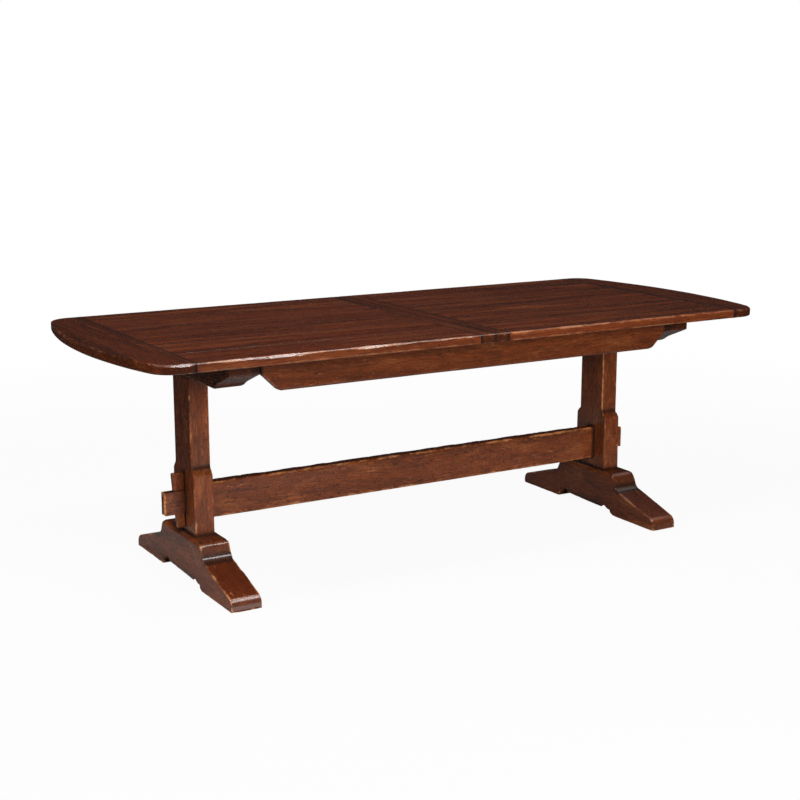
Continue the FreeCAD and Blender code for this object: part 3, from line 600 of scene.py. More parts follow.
def grain_group():
    """Growth rings round the heart of the log, with streaks, flecks, fibres and pores along it."""
    tree, entry, leave = new_group(
        "Grain", {"Vector": "Vector", "Ring Width": "Float"}, dict.fromkeys(("Rings", *THREADS), "Float"))
    bend = combine(tree, "SUBTRACT", cloud(tree, entry["Vector"], LOG_BENDS, 2.0)["Color"], (0.5, 0.5, 0.5))
    bent = combine(tree, "ADD", entry["Vector"], combine(tree, "MULTIPLY", bend, LOG_SWAY))
    radius = combine(tree, "LENGTH", combine(tree, "MULTIPLY", bent, (0, 1, 1)), output="Value")
    year = calculate(tree, "FRACT", calculate(tree, "DIVIDE", radius, entry["Ring Width"]))
    late = calculate(tree, "MULTIPLY", between(tree, year, 0.2, 0.85), between(tree, year, 1.0, 0.9))
    tree.links.new(late, leave["Rings"])
    for label, (stretch, detail, start, full) in THREADS.items():
        threads = cloud(tree, bent, stretch, detail, THREAD_ROUGHNESS)["Fac"]
        tree.links.new(between(tree, threads, start, full), leave[label])


# Specks, their ragged outlines, the patches that they keep to, and dents, each so many to the metre
SPECKS = 130.0
SPECK_RAGS = (160, 160, 160)
SPECK_PATCHES = (9, 9, 9)
DENTS = 24.0
# Ragged outlines stray so far, in metres, specks are drawn out along the grain, their size has a least value
# and a range, in shares of their spacing, and they fade out at so many times that size
SPECK_STRAY = (0.012, 0.012, 0.012)
SPECK_STRETCH = (0.6, 1, 1)
SPECK_LEAST = 0.04
SPECK_RANGE = 0.20
SPECK_BLUR = 1.7


def specks_group():
    """Small dark specks and worm holes, scattered by hand over the finish."""
    tree, entry, leave = new_group(
        "Specks", {"Vector": "Vector", "Amount": "Float"}, {"Specks": "Float", "Dents": "Float"})
    vector = entry["Vector"]
    ragged = combine(tree, "MULTIPLY", cloud(tree, vector, SPECK_RAGS, 2.0)["Color"], SPECK_STRAY)
    spread = combine(tree, "ADD", combine(tree, "MULTIPLY", vector, SPECK_STRETCH), ragged)
    dots = add(tree, "ShaderNodeTexVoronoi", {"Vector": spread, "Scale": SPECKS}).outputs
    chance = add(tree, "ShaderNodeSeparateColor", (dots["Color"],)).outputs
    patches = cloud(tree, vector, SPECK_PATCHES, 2.0)["Fac"]
    likely = calculate(tree, "MULTIPLY", between(tree, patches, 0.35, 0.65, 0.25, 1.0), entry["Amount"])
    kept = calculate(tree, "LESS_THAN", chance["Red"], likely)
    size = calculate(tree, "MULTIPLY_ADD", chance["Green"], SPECK_RANGE, SPECK_LEAST)
    dot = between(tree, dots["Distance"], calculate(tree, "MULTIPLY", size, SPECK_BLUR), size)
    tree.links.new(calculate(tree, "MULTIPLY", dot, kept), leave["Specks"])
    inputs = {"Vector": vector, "Scale": DENTS}
    dents = add(tree, "ShaderNodeTexVoronoi", inputs, feature="SMOOTH_F1").outputs["Distance"]
    tree.links.new(between(tree, dents, 0.0, 0.32, 1.0, 0.0), leave["Dents"])


def edge_wear_group():
    """Where finish and stain were rubbed off along an edge."""
    tree, entry, leave = new_group(
        "Edge wear", {"Vector": "Vector", "Edge": "Float", "Amount": "Float"}, {"Worn": "Float"})
    broken = cloud(tree, entry["Vector"], (26, 70, 70), 4.0, 0.65)["Fac"]
    reach = calculate(tree, "MULTIPLY_ADD", calculate(tree, "SUBTRACT", broken, 0.5), 1.5, entry["Edge"])
    worn = calculate(tree, "MULTIPLY", between(tree, reach, 0.38, 0.85), entry["Amount"])
    tree.links.new(worn, leave["Worn"])


# How each wood takes stain and wear: ring width in metres, patches to the metre along the grain, then shares
CHARACTER = {
    "top_wood": {
        "Ring Width": 0.0065, "Rings": 0.35, "Streaks": 0.85, "Flecks": 0.40, "Patch Rate": 2.0,
        "Patches": 0.65, "Scuffs": 0.10, "Mottle": 0.15, "Glazing": 0.25, "Specks": 0.15, "Wear": 0.4,
        "Satin": 0.16},
    "trestle_wood": {
        "Ring Width": 0.0055, "Rings": 0.30, "Streaks": 0.5, "Flecks": 0.32, "Patch Rate": 7.0,
        "Patches": 0.75, "Scuffs": 0.55, "Mottle": 0.65, "Glazing": 0.6, "Specks": 0.80, "Wear": 1.0,
        "Satin": 0.24},
    "slide_wood": {
        "Ring Width": 0.003, "Rings": 0.3, "Streaks": 0.3, "Flecks": 0.2, "Patch Rate": 5.0,
        "Patches": 0.3, "Scuffs": 0.0, "Mottle": 0.1, "Glazing": 0.05, "Specks": 0.03, "Wear": 0.2,
        "Satin": 0.45},
    "dowel_wood": {
        "Ring Width": 0.002, "Rings": 0.3, "Streaks": 0.2, "Flecks": 0.2, "Patch Rate": 5.0,
        "Patches": 0.3, "Scuffs": 0.0, "Mottle": 0.1, "Glazing": 0.0, "Specks": 0.0, "Wear": 0.2,
        "Satin": 0.5},
}
TINTS = ("Body", "Dark", "Light", "Worn", "Glaze", "Shade")
NOTES = ("Edge", "Contact", "Tone")
FACINGS = ("End", "Side", "Grime")
# End grain drinks so much dark stain, and one step of tone changes the colour so much
END_STAIN = 0.68
TONE_STEP = 0.16


def stained_wood_group():
    """Stained, glazed and varnished wood, worn along its edges, with painted shade on upward faces, beside
    other pieces and in inner corners.
    """
    shares = (*NOTES, *FACINGS, *CHARACTER["trestle_wood"])
    tree, entry, leave = new_group(
        "Stained wood",
        {"Vector": "Vector", **dict.fromkeys(shares, "Float"), **dict.fromkeys(TINTS, "Color")},
        {"Color": "Color", "Roughness": "Float", "Height": "Float"})
    vector = entry["Vector"]
    figure = placed(tree, "Grain", {"Vector": vector, "Ring Width": entry["Ring Width"]})
    marks = placed(tree, "Specks", {"Vector": vector, "Amount": entry["Specks"]})
    rubbed = {"Vector": vector, "Edge": entry["Edge"], "Amount": entry["Wear"]}
    worn = placed(tree, "Edge wear", rubbed)["Worn"]
    spread = add(tree, "ShaderNodeCombineXYZ", (entry["Patch Rate"], 24.0, 24.0)).outputs[0]
    tan = between(tree, cloud(tree, vector, spread, 5.0, 0.6)["Fac"], 0.47, 0.70)
    mottle = between(tree, cloud(tree, vector, (150, 200, 200), 4.0, 0.65)["Fac"], 0.45, 0.68)
    scuffs = between(tree, cloud(tree, vector, (22, 75, 75), 5.0, 0.7)["Fac"], 0.60, 0.74)
    murk = between(tree, cloud(tree, vector, (9, 20, 20), 5.0, 0.65)["Color"], 0.50, 0.72)
    rim = calculate(tree, "MULTIPLY", entry["Side"], between(tree, tan, 0.0, 1.0, 0.5, 1.0))
    # Painted shade beside other pieces and in inner corners, together with dark joint lines
    contact = between(tree, entry["Contact"], 0.3, 1.0)
    # Each layer's mask, strength and tint, from the wood outwards
    layers = (
        (figure["Streaks"], entry["Streaks"], "Dark"),
        (tan, entry["Patches"], "Light"),
        (rim, 0.5, "Light"),
        (figure["Rings"], entry["Rings"], "Dark"),
        (figure["Flecks"], entry["Flecks"], "Light"),
        (mottle, entry["Mottle"], "Dark"),
        (murk, entry["Glazing"], "Glaze"),
        # Painted shade on the trestles' upward faces
        (entry["Grime"], 0.75, "Shade"),
        (entry["End"], END_STAIN, "Dark"),
        (figure["Pores"], 0.55, "Glaze"),
        (figure["Fibres"], 0.15, "Dark"),
        (scuffs, entry["Scuffs"], "Worn"),
        (worn, 1.0, "Worn"),
        (marks["Specks"], 0.8, "Glaze"),
        (contact, 0.85, "Glaze"))
    stain = entry["Body"]
    for mask, amount, tint in layers:
        stain = blend(tree, calculate(tree, "MULTIPLY", mask, amount), stain, entry[tint])
    bright = calculate(tree, "MULTIPLY_ADD", entry["Tone"], TONE_STEP, 1.0)
    toned = add(tree, "ShaderNodeHueSaturation", {"Color": stain, "Value": bright})
    tree.links.new(toned.outputs[0], leave["Color"])
    # How much each mark roughens the finish, and how far it stands up or lies deep
    roughening = ((figure["Fibres"], 0.08), (worn, 0.04), (figure["Pores"], 0.15))
    relief = (
        (figure["Pores"], -0.35), (figure["Fibres"], 0.12), (figure["Rings"], -0.15),
        (marks["Specks"], -1.0), (marks["Dents"], -0.5))
    for label, level, changes in (("Roughness", entry["Satin"], roughening), ("Height", 1.0, relief)):
        for mask, amount in changes:
            level = calculate(tree, "MULTIPLY_ADD", mask, amount, level)
        tree.links.new(level, leave[label])


def placed(tree, name, inputs):
    """Place a shared effect in a material or in another group."""
    return add(tree, "ShaderNodeGroup", inputs, node_tree=bpy.data.node_groups[name]).outputs


def make_groups():
    """The shared effects, each built once."""
    if "Stained wood" not in bpy.data.node_groups:
        grain_group()
        specks_group()
        edge_wear_group()
        stained_wood_group()


# Turns that bring each grain direction to X
GRAIN_TURN = {"X": (0, 0, 0), "Y": (0, 0, -math.pi / 2), "Z": (0, math.pi / 2, 0)}
# Gloss of each finish, and the weight of its clear coat
GLOSS = {"top_wood": 0.60, "trestle_wood": 0.40, "slide_wood": 0.2, "dowel_wood": 0.2}
VARNISH = {"top_wood": 0.0, "trestle_wood": 0.4, "slide_wood": 0.0, "dowel_wood": 0.0}
VARNISH_ROUGHNESS = 0.1
# Strength and depth in metres of the marks in a finish
MARK_STRENGTH = 0.3
MARK_DEPTH = 0.0006
# Dark and light parts of a plain wood, as shares of its body colour
PLAIN_DARK = 0.55
PLAIN_LIGHT = 1.25
STEEL_DARK = (0.34, 0.33, 0.31, 1)
STEEL_LIGHT = (0.55, 0.53, 0.50, 1)
STEEL_RUBS = (300, 300, 300)


def stains(slot):
    """Body, dark and light colours of a wood."""
    tints = bpy.context.scene.table_colours
    if slot == "top_wood":
        return tints.top_body, tints.top_dark, tints.top_light
    if slot == "trestle_wood":
        return tints.trestle_body, tints.trestle_dark, tints.trestle_light
    body = tints.slide if slot == "slide_wood" else tints.dowel
    return body, [part * PLAIN_DARK for part in body], [part * PLAIN_LIGHT for part in body]


def wood(slot, grain):
    """The material of a wood whose grain runs along one axis."""
    name = f"{slot}_{grain.lower()}"
    if name in bpy.data.materials:
        return bpy.data.materials[name]
    make_groups()
    tints = bpy.context.scene.table_colours
    material = bpy.data.materials.new(name)
    material.use_nodes = True
    tree = material.node_tree
    shader = tree.nodes["Principled BSDF"]
    source = add(tree, "ShaderNodeTexCoord").outputs
    heart = add(tree, "ShaderNodeAttribute", attribute_name="heart").outputs["Vector"]
    from_heart = combine(tree, "SUBTRACT", source["Object"], heart)
    along = add(tree, "ShaderNodeMapping", {"Vector": from_heart, "Rotation": GRAIN_TURN[grain]}).outputs[0]
    facing = combine(tree, "DOT_PRODUCT", source["Normal"], place(grain, 0, 0, 1)[:], output="Value")
    end = between(tree, calculate(tree, "ABSOLUTE", facing), 0.6, 0.9)
    inputs = {"Vector": along, "End": end, **CHARACTER[slot]}
    upward = add(tree, "ShaderNodeSeparateXYZ", (source["Normal"],)).outputs["Z"]
    if slot == "top_wood":
        inputs["Side"] = between(tree, calculate(tree, "ABSOLUTE", upward), 0.75, 0.35)
    elif slot == "trestle_wood":
        # Painted shade: upward faces of the trestles are darkened, as if the top shaded them
        inputs["Grime"] = between(tree, upward, 0.75, 0.95)
    for label in NOTES:
        inputs[label] = add(tree, "ShaderNodeAttribute", attribute_name=label.lower()).outputs["Fac"]
    tinted = zip(TINTS, (*stains(slot), tints.worn, tints.glaze_and_shade, tints.shade))
    inputs.update({label: (*tint, 1) for label, tint in tinted})
    stained = placed(tree, "Stained wood", inputs)
    marks = {"Height": stained["Height"], "Strength": MARK_STRENGTH, "Distance": MARK_DEPTH}
    bump = add(tree, "ShaderNodeBump", marks)
    tree.links.new(stained["Color"], shader.inputs["Base Color"])
    tree.links.new(stained["Roughness"], shader.inputs["Roughness"])
    tree.links.new(bump.outputs[0], shader.inputs["Normal"])
    shader.inputs["Specular IOR Level"].default_value = GLOSS[slot]
    shader.inputs["Coat Weight"].default_value = VARNISH[slot]
    shader.inputs["Coat Roughness"].default_value = VARNISH_ROUGHNESS
    return material


def screw_steel():
    """Plain wood-screw steel, slightly rubbed."""
    material = bpy.data.materials.new("screw_steel")
    material.use_nodes = True
    tree = material.node_tree
    shader = tree.nodes["Principled BSDF"]
    source = add(tree, "ShaderNodeTexCoord").outputs["Object"]
    rubbed = cloud(tree, source, STEEL_RUBS, 4.0)["Fac"]
    tint = blend(tree, rubbed, STEEL_DARK, STEEL_LIGHT)
    tree.links.new(tint, shader.inputs["Base Color"])
    tree.links.new(between(tree, rubbed, 0.3, 0.7, 0.28, 0.5), shader.inputs["Roughness"])
    shader.inputs["Metallic"].default_value = 1
    return material


# Pieces

class TABLE_OT_boards(bpy.types.Operator):
    """Model the field boards of both halves of the top"""

    bl_idname = "table.boards"
    bl_label = "Boards"

    def execute(self, context):
        shape = context.scene.table_shape
        for side, way in SIDES.items():
            end_low, end_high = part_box(f"{side}_end_board")
            batten_low, batten_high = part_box(f"{side}_centre_batten")
            across = sorted((end_high.x, batten_low.x) if way < 0 else (batten_high.x, end_low.x))
            boards = [node for node in frame["nodes"] if node.startswith(f"{side}_board_")]
            for node in sorted(boards):
                low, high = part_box(node)
                low.x, high.x = across
                bm = block(low, high)
                lines = arrises(sharp_edges(bm))
                edge_y = max(abs(low.y), abs(high.y))
                if edge_y > end_high.y - TOUCH:
                    rim = [edge for edge in bm.edges if lies_at(edge, "Y", edge_y) and runs(edge, "X")]
                    bevel(bm, rim, shape.top_round, segments=4)
                bevel(bm, sharp_edges(bm), shape.joint_ease, segments=1)
                finish_piece(bm, node, "board", lines, front_hollows if node == FRONT_BOARD else None)
        return {"FINISHED"}


# The front board of the left half, and the hollows worn into its front edge: middle, half length and share
# of the full depth
FRONT_BOARD = "left_board_1"
DIPS = ((-0.735, 0.125, 1.0), (-0.42, 0.06, 0.35), (-0.20, 0.05, 0.45), (-0.09, 0.035, 0.3))


def front_hollows(spot):
    """How much deeper the front edge was worn at a place."""
    low, high = BOXES[FRONT_BOARD]
    if spot.y > low.y + TOUCH or spot.z < high.z - TOUCH:
        return 0.0
    depth = bpy.context.scene.table_wear.dip_depth
    hollows = (part * max(0.0, 1 - ((spot.x - middle) / half) ** 2) for middle, half, part in DIPS)
    return depth * max(hollows)


# How far back from the front a corner of the top was handled, and the steps of an end's arcs
CORNER_WEAR = 0.12
CORNER_STEPS = 8
BOW_STEPS = 40


class TABLE_OT_end_boards(bpy.types.Operator):
    """Model the end boards with their bowed edges"""

    bl_idname = "table.end_boards"
    bl_label = "End boards"

    def execute(self, context):
        shape = context.scene.table_shape
        for side, way in SIDES.items():
            node = f"{side}_end_board"
            low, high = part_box(node)
            joint, reach = sorted((abs(low.x), abs(high.x)))
            bm = bowed_plan(way, joint, reach, high.y, low.z, high.z, shape)
            arris = sharp_edges(bm)
            lines = arrises(arris)
            rim = [edge for edge in arris if not runs(edge, "Z") and not lies_at(edge, "X", joint)]
            bevel(bm, rim, shape.top_round, segments=4)
            bevel(bm, sharp_edges(bm), shape.joint_ease, segments=1)
            finish_piece(bm, node, "end_board", lines, corner_hollows)
        return {"FINISHED"}


def corner_hollows(spot):
    """How much deeper the upper edge was worn round the front corners of the top."""
    low, high = BOXES["left_end_board"]
    behind = spot.y - low.y
    if spot.z < high.z - TOUCH or behind > CORNER_WEAR:
        return 0.0
    return bpy.context.scene.table_wear.edge_depth * (1 - behind / CORNER_WEAR)


def bowed_plan(way, joint, reach, half_width, bottom, top, shape):
    """An end board's plan, its corners and bow spun as arcs, drawn up to the top."""
    bow = (half_width ** 2 + shape.end_bow ** 2) / (2 * shape.end_bow)
    bow_centre = Vector((way * (reach - bow), 0, bottom))
    corner_y = half_width - shape.corner_radius
    corner_x = math.sqrt((bow - shape.corner_radius) ** 2 - corner_y ** 2)
    sweep = math.atan2(corner_y, corner_x)
    bm = bmesh.new()
    first = bm.verts.new((way * joint, -half_width, bottom))
    corner = bow_centre + Vector((way * corner_x, -corner_y, 0))
    tip = bm.verts.new((corner.x, -half_width, bottom))
    bm.edges.new((first, tip))
    far_corner = bow_centre + Vector((way * corner_x, corner_y, 0))
    arcs = (
        (corner, math.pi / 2 - sweep, CORNER_STEPS), (bow_centre, 2 * sweep, BOW_STEPS),
        (far_corner, math.pi / 2 - sweep, CORNER_STEPS))
    for centre, swing, steps in arcs:
        spun = bmesh.ops.spin(
            bm, geom=[tip], cent=centre, axis=(0, 0, 1), angle=way * swing, steps=steps, use_merge=False)
        tip = next(item for item in spun["geom_last"] if isinstance(item, bmesh.types.BMVert))
    last = bm.verts.new((way * joint, half_width, bottom))
    bm.edges.new((tip, last))
    bm.edges.new((last, first))
    face = bmesh.ops.contextual_create(bm, geom=bm.edges[:])["faces"]
    grown = bmesh.ops.extrude_face_region(bm, geom=face)["geom"]
    moved = [item for item in grown if isinstance(item, bmesh.types.BMVert)]
    bmesh.ops.translate(bm, verts=moved, vec=(0, 0, top - bottom))
    bmesh.ops.recalc_face_normals(bm, faces=bm.faces[:])
    return bm


class TABLE_OT_battens(bpy.types.Operator):
    """Model the battens beside the split and the dowels that line them up"""

    bl_idname = "table.battens"
    bl_label = "Battens and dowels"

    def execute(self, context):
        shape = context.scene.table_shape
        dowels = dowel_boxes()
        for side, way in SIDES.items():
            node = f"{side}_centre_batten"
            low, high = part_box(node)
            split = shape.split_gap / 2
            if way < 0:
                high.x = -split
            else:
                low.x = split
            bm = block(low, high)
            lines = arrises(sharp_edges(bm))
            rim = [edge for edge in bm.edges if lies_at(edge, "Y", high.y) and runs(edge, "X")]
            bevel(bm, rim, shape.top_round, segments=4)
            upper = high.z - shape.top_round / 2
            arris = [
                edge for edge in sharp_edges(bm)
                if lies_at(edge, "X", split) and all(vert.co.z > upper for vert in edge.verts)]
            bevel(bm, arris, shape.split_round, segments=3)
            bevel(bm, sharp_edges(bm), shape.joint_ease, segments=1)
            if way > 0:
                for middle, radius, half in dowels:
                    bm = carve(bm, round_bar(middle, radius + shape.dowel_play, half + SOCKET_ROOM))
            finish_piece(bm, node, "batten", lines)
        self.make_dowels(dowels, shape)
        return {"FINISHED"}

    def make_dowels(self, dowels, shape):
        """Dowels with chamfered ends, kept by the left half."""
        whole = bmesh.new()
        for middle, radius, half in dowels:
            bm = round_bar(middle, radius, half)
            rims = [edge for edge in sharp_edges(bm) if not runs(edge, "X")]
            bevel(bm, rims, shape.dowel_chamfer, segments=2)
            mesh = bpy.data.meshes.new("dowel")
            bm.to_mesh(mesh)
            bm.free()
            whole.from_mesh(mesh)
            bpy.data.meshes.remove(mesh)
        finish_piece(whole, "alignment_dowels", "dowel", arrises(sharp_edges(whole)))


# Points within so many radii are of one dowel
DOWEL_SPAN = 2.1


def dowel_boxes():
    """Middle, radius and half length of each dowel, read from its solids."""
    low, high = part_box("alignment_dowels")
    radius = (high.z - low.z) / 2
    points = sorted({round(vert.co.y, 3) for vert in frame["nodes"]["alignment_dowels"].data.vertices})
    span = DOWEL_SPAN * radius
    starts = [y for y in points if not any(0 < y - other < span for other in points)]
    return [
        (Vector(((low.x + high.x) / 2, start + radius, (low.z + high.z) / 2)), radius, (high.x - low.x) / 2)
        for start in starts]


def round_bar(middle, radius, half):
    """A round bar along X."""
    bm = bmesh.new()
    turned = Matrix.Translation(middle) @ Matrix.Rotation(math.pi / 2, 4, "Y")
    bmesh.ops.create_cone(
        bm, cap_ends=True, segments=24, radius1=radius, radius2=radius, depth=2 * half, matrix=turned)
    bmesh.ops.recalc_face_normals(bm, faces=bm.faces[:])
    return bm


class TABLE_OT_aprons(bpy.types.Operator):
    """Model the aprons with their sloped lower corners"""

    bl_idname = "table.aprons"
    bl_label = "Aprons"

    def execute(self, context):
        shape = context.scene.table_shape
        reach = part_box("bearer_right")[0].x
        for row in ROWS:
            node = f"apron_{row}"
            low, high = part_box(node)
            foot = (reach - shape.apron_slope, low.z)
            half = [foot, (reach, high.z - shape.apron_end), (reach, high.z)]
            bm = sawn("Y", half, low.y, high.y, {foot: shape.apron_round})
            finish_piece(bm, node, "apron", ease(bm, shape.trestle_round, segments=3))
        return {"FINISHED"}


class TABLE_OT_bearers(bpy.types.Operator):
    """Model the bearers under the top"""

    bl_idname = "table.bearers"
    bl_label = "Bearers"

    def execute(self, context):
        shape = context.scene.table_shape
        for side in SIDES:
            node = f"bearer_{side}"
            low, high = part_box(node)
            slope_top = high.z - shape.bearer_end
            crease = (high.y - shape.bearer_slope, slope_top - shape.bearer_drop)
            nose = (crease[0] - shape.bearer_step, low.z)
            half = [nose, crease, (high.y, slope_top), (high.y, high.z)]
            bm = sawn("X", half, low.x, high.x, dict.fromkeys((nose, crease), shape.bearer_round))
            finish_piece(bm, node, "bearer", ease(bm, shape.trestle_round, segments=3))
        return {"FINISHED"}


class TABLE_OT_posts(bpy.types.Operator):
    """Model the posts, mortised for the stretcher"""

    bl_idname = "table.posts"
    bl_label = "Posts"

    def execute(self, context):
        shape = context.scene.table_shape
        for side in SIDES:
            node = f"post_{side}"
            low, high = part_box(node)
            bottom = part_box(f"foot_{side}")[1].z
            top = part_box(f"bearer_{side}")[0].z
            shoulder = (shape.shoulder_width / 2, shape.shoulder_height)
            neck = (shape.post_width / 2, shape.shoulder_height + shape.shoulder_rise)
            half = [(shape.base_width / 2, bottom), shoulder, neck, (shape.post_width / 2, top)]
            bm = sawn("X", half, low.x, high.x, dict.fromkeys((shoulder, neck), shape.shoulder_round))
            arris = sharp_edges(bm)
            lines = arrises(arris)
            bevel(bm, [edge for edge in arris if runs(edge, "Z")], shape.trestle_round, segments=3)
            tenon_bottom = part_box("stretcher")[0].z + shape.tenon_rise
            mortise = block(
                Vector((low.x - PROUD, -shape.tenon_thickness / 2, tenon_bottom)),
                Vector((high.x + PROUD, shape.tenon_thickness / 2, tenon_bottom + shape.tenon_height)))
            finish_piece(carve(bm, mortise), node, "post", lines)
        return {"FINISHED"}


class TABLE_OT_feet(bpy.types.Operator):
    """Model the feet with their steps, toes and arches"""

    bl_idname = "table.feet"
    bl_label = "Feet"

    def execute(self, context):
        shape = context.scene.table_shape
        for side in SIDES:
            node = f"foot_{side}"
            low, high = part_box(node)
            arch_foot = high.y - shape.pad_length
            arch_head = (arch_foot - shape.arch_run, shape.arch_height)
            toe = (high.y, shape.toe_height)
            crease = (shape.foot_crease / 2, shape.crease_height)
            step = (shape.foot_flat / 2, high.z)
            half = [arch_head, (arch_foot, 0), (high.y, 0), toe, crease, step]
            rounds = {
                toe: shape.toe_round, crease: shape.crease_round, step: shape.step_round,
                arch_head: shape.arch_round}
            bm = sawn("X", half, low.x, high.x, rounds)
            finish_piece(bm, node, "foot", ease(bm, shape.trestle_round, segments=3))
        return {"FINISHED"}


class TABLE_OT_stretcher(bpy.types.Operator):
    """Model the stretcher with its through tenons and the slots for the wedges"""

    bl_idname = "table.stretcher"
    bl_label = "Stretcher"

    def execute(self, context):
        shape = context.scene.table_shape
        low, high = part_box("stretcher")
        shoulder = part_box("post_right")[0].x
        bm = block(Vector((-shoulder, low.y, low.z)), Vector((shoulder, high.y, high.z)))
        tenon_bottom = low.z + shape.tenon_rise
        cuts = (
            ((0, -shape.tenon_thickness / 2, 0), (0, 1, 0)), ((0, shape.tenon_thickness / 2, 0), (0, 1, 0)),
            ((0, 0, tenon_bottom), (0, 0, 1)), ((0, 0, tenon_bottom + shape.tenon_height), (0, 0, 1)))
        long_edges = [edge for edge in bm.edges if runs(edge, "X")]
        lines = arrises(long_edges)
        bevel(bm, long_edges, shape.stretcher_round, segments=3)
        for way in SIDES.values():
            self.draw_out_tenon(bm, way, shoulder, high.x, cuts, tenon_bottom + shape.tenon_height / 2)
        rims = [edge for edge in sharp_edges(bm) if lies_at(edge, "X", high.x)]
        lines = [np.concatenate(pair) for pair in zip(lines, arrises(rims))]
        bevel(bm, rims, shape.tenon_chamfer, segments=3)
        for side in SIDES:
            bm = carve(bm, wedge_slot(side, shape))
        finish_piece(bm, "stretcher", "stretcher", lines, stretcher_hollows)
        return {"FINISHED"}

    def draw_out_tenon(self, bm, way, shoulder, end, cuts, middle):
        """Mark the tenon on an end face and draw it out past the post."""
        centre = Vector((way * shoulder, 0, middle))
        for spot, normal in cuts:
            faces = [
                face for face in bm.faces if all(abs(vert.co.x - centre.x) < TOUCH for vert in face.verts)]
            around = {item for face in faces for item in (*face.verts, *face.edges)}
            bmesh.ops.bisect_plane(bm, geom=[*faces, *around], dist=HAIR, plane_co=spot, plane_no=normal)
        face = min(bm.faces, key=lambda item: (item.calc_center_median() - centre).length)
        grown = bmesh.ops.extrude_discrete_faces(bm, faces=[face])["faces"]
        bmesh.ops.translate(bm, verts=grown[0].verts[:], vec=(way * (end - shoulder), 0, 0))


# The stretcher's edges are kept sharp so near a post, and its hollows are so much closer than other strokes
POST_CLEARANCE = 0.03
HOLLOW_RATE = 1.3


def stretcher_hollows(spot):
    """How much deeper the long upper edges of the stretcher were worn at a place."""
    inside = BOXES["post_right"][0].x - abs(spot.x)
    if inside < POST_CLEARANCE or spot.z < BOXES["stretcher"][1].z - TOUCH:
        return 0.0
    return bpy.context.scene.table_wear.edge_depth * rubbing(spot * HOLLOW_RATE)


def wedge_outline(side, shape, room, draw):
    """A wedge's outline: upright against the post, sloped on the side that bears on the tenon."""
    low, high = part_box(f"wedge_{side}")
    inner, outer = sorted((abs(low.x), abs(high.x)))
    back = inner - draw
    front = inner + shape.wedge_foot + room
    outline = [(back, low.z), (front, low.z), (outer + room, high.z), (back, high.z)]
    return [(SIDES[side] * across, up) for across, up in outline]


def wedge_slot(side, shape):
    """The room for a wedge in its tenon."""
    low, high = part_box(f"wedge_{side}")
    outline = wedge_outline(side, shape, shape.wedge_fit, shape.wedge_draw)
    return prism("Y", outline, low.y - shape.wedge_fit, high.y + shape.wedge_fit)


class TABLE_OT_wedges(bpy.types.Operator):
    """Model the wedges that draw the stretcher tight"""

    bl_idname = "table.wedges"
    bl_label = "Wedges"

    def execute(self, context):
        shape = context.scene.table_shape
        for side in SIDES:
            node = f"wedge_{side}"
            low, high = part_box(node)
            bm = prism("Y", wedge_outline(side, shape, 0, 0), low.y, high.y)
            bevel(bm, [edge for edge in bm.edges if runs(edge, "Y")], shape.wedge_round, segments=4)
            finish_piece(bm, node, "wedge", ease(bm, shape.wedge_ease, segments=2))
        return {"FINISHED"}


class TABLE_OT_slides(bpy.types.Operator):
    """Ease the arrises of the slide rails and runners, and give the screws their steel"""

    bl_idname = "table.slides"
    bl_label = "Slides and screws"

    def execute(self, context):
        shape = context.scene.table_shape
        steel = screw_steel()
        for node, item in frame["nodes"].items():
            if "rail_screws" in node or "runner_screws" in node:
                item.data.materials.clear()
                item.data.materials.append(steel)
            elif "slide_rail" in node or "runner" in node:
                bm = bmesh.new()
                bm.from_mesh(item.data)
                bmesh.ops.remove_doubles(bm, verts=bm.verts[:], dist=HAIR)
                bmesh.ops.dissolve_limit(bm, angle_limit=FLAT, verts=bm.verts[:], edges=bm.edges[:])
                arris = sharp_edges(bm)
                lines = arrises(arris)
                long_edges = [edge for edge in arris if edge.calc_length() > LONG_EDGE]
                bevel(bm, long_edges, shape.slide_ease, segments=2)
                finish_piece(bm, node, "slide", lines)
        return {"FINISHED"}


# Studio

# Each lamp's place, the point that it faces, its width and height, and the rays that don't see it
LAMPS = {
    "front": ((-0.3, -4.3, 1.6), (-0.1, 0, 0.5), 2.0, 1.8, ("glossy",)),
    "strip": ((-0.1, -0.92, 3.0), (-0.1, -0.3, 0.6), 2.3, 0.24, ()),
    "side": ((-2.5, -0.9, 3.0), (-0.5, 0, 0.4), 1.3, 1.0, ("glossy",)),
    "fill": ((1.6, 3.2, 2.4), (0, 0, 0.5), 2.0, 2.0, ("glossy",)),
    "card": ((0.8, -2.2, 3.0), (-0.3, 0, 0.1), 1.8, 0.7, ("diffuse", "camera")),
    "toe_card": ((-0.81, -0.49, 0.004), (-0.81, -0.49, 1), 0.38, 0.22, ("diffuse", "camera")),
    "post_card": ((-0.2, -1.6, 0.004), (-0.2, -1.6, 1), 0.75, 1.6, ("diffuse", "camera"))}
SENSOR_WIDTH = 36
# The floor: radius, its own grey, how near to white it looks beside the table, and where it turns all white
FLOOR_RADIUS = 30.0
FLOOR_GREY = 0.5
FLOOR_LIFT = 0.94
FLOOR_FADE = (1.6, 4.5)
# The cloth on the floor: radius, place, stretch, its greys inside and outside, and where the one turns into
# the other, before the stretch
CLOTH_RADIUS = 5.0
CLOTH_PLACE = (0.4, 0.2, 0.002)
CLOTH_STRETCH = (1.7, 1.3, 1)
CLOTH_GREYS = (0.21, 0.02)
CLOTH_FADE = (0.8, 1.15)
# The cloth round the set: radius, height and grey
WALL_RADIUS = 7.0
WALL_HEIGHT = 7.0
WALL_GREY = 0.05


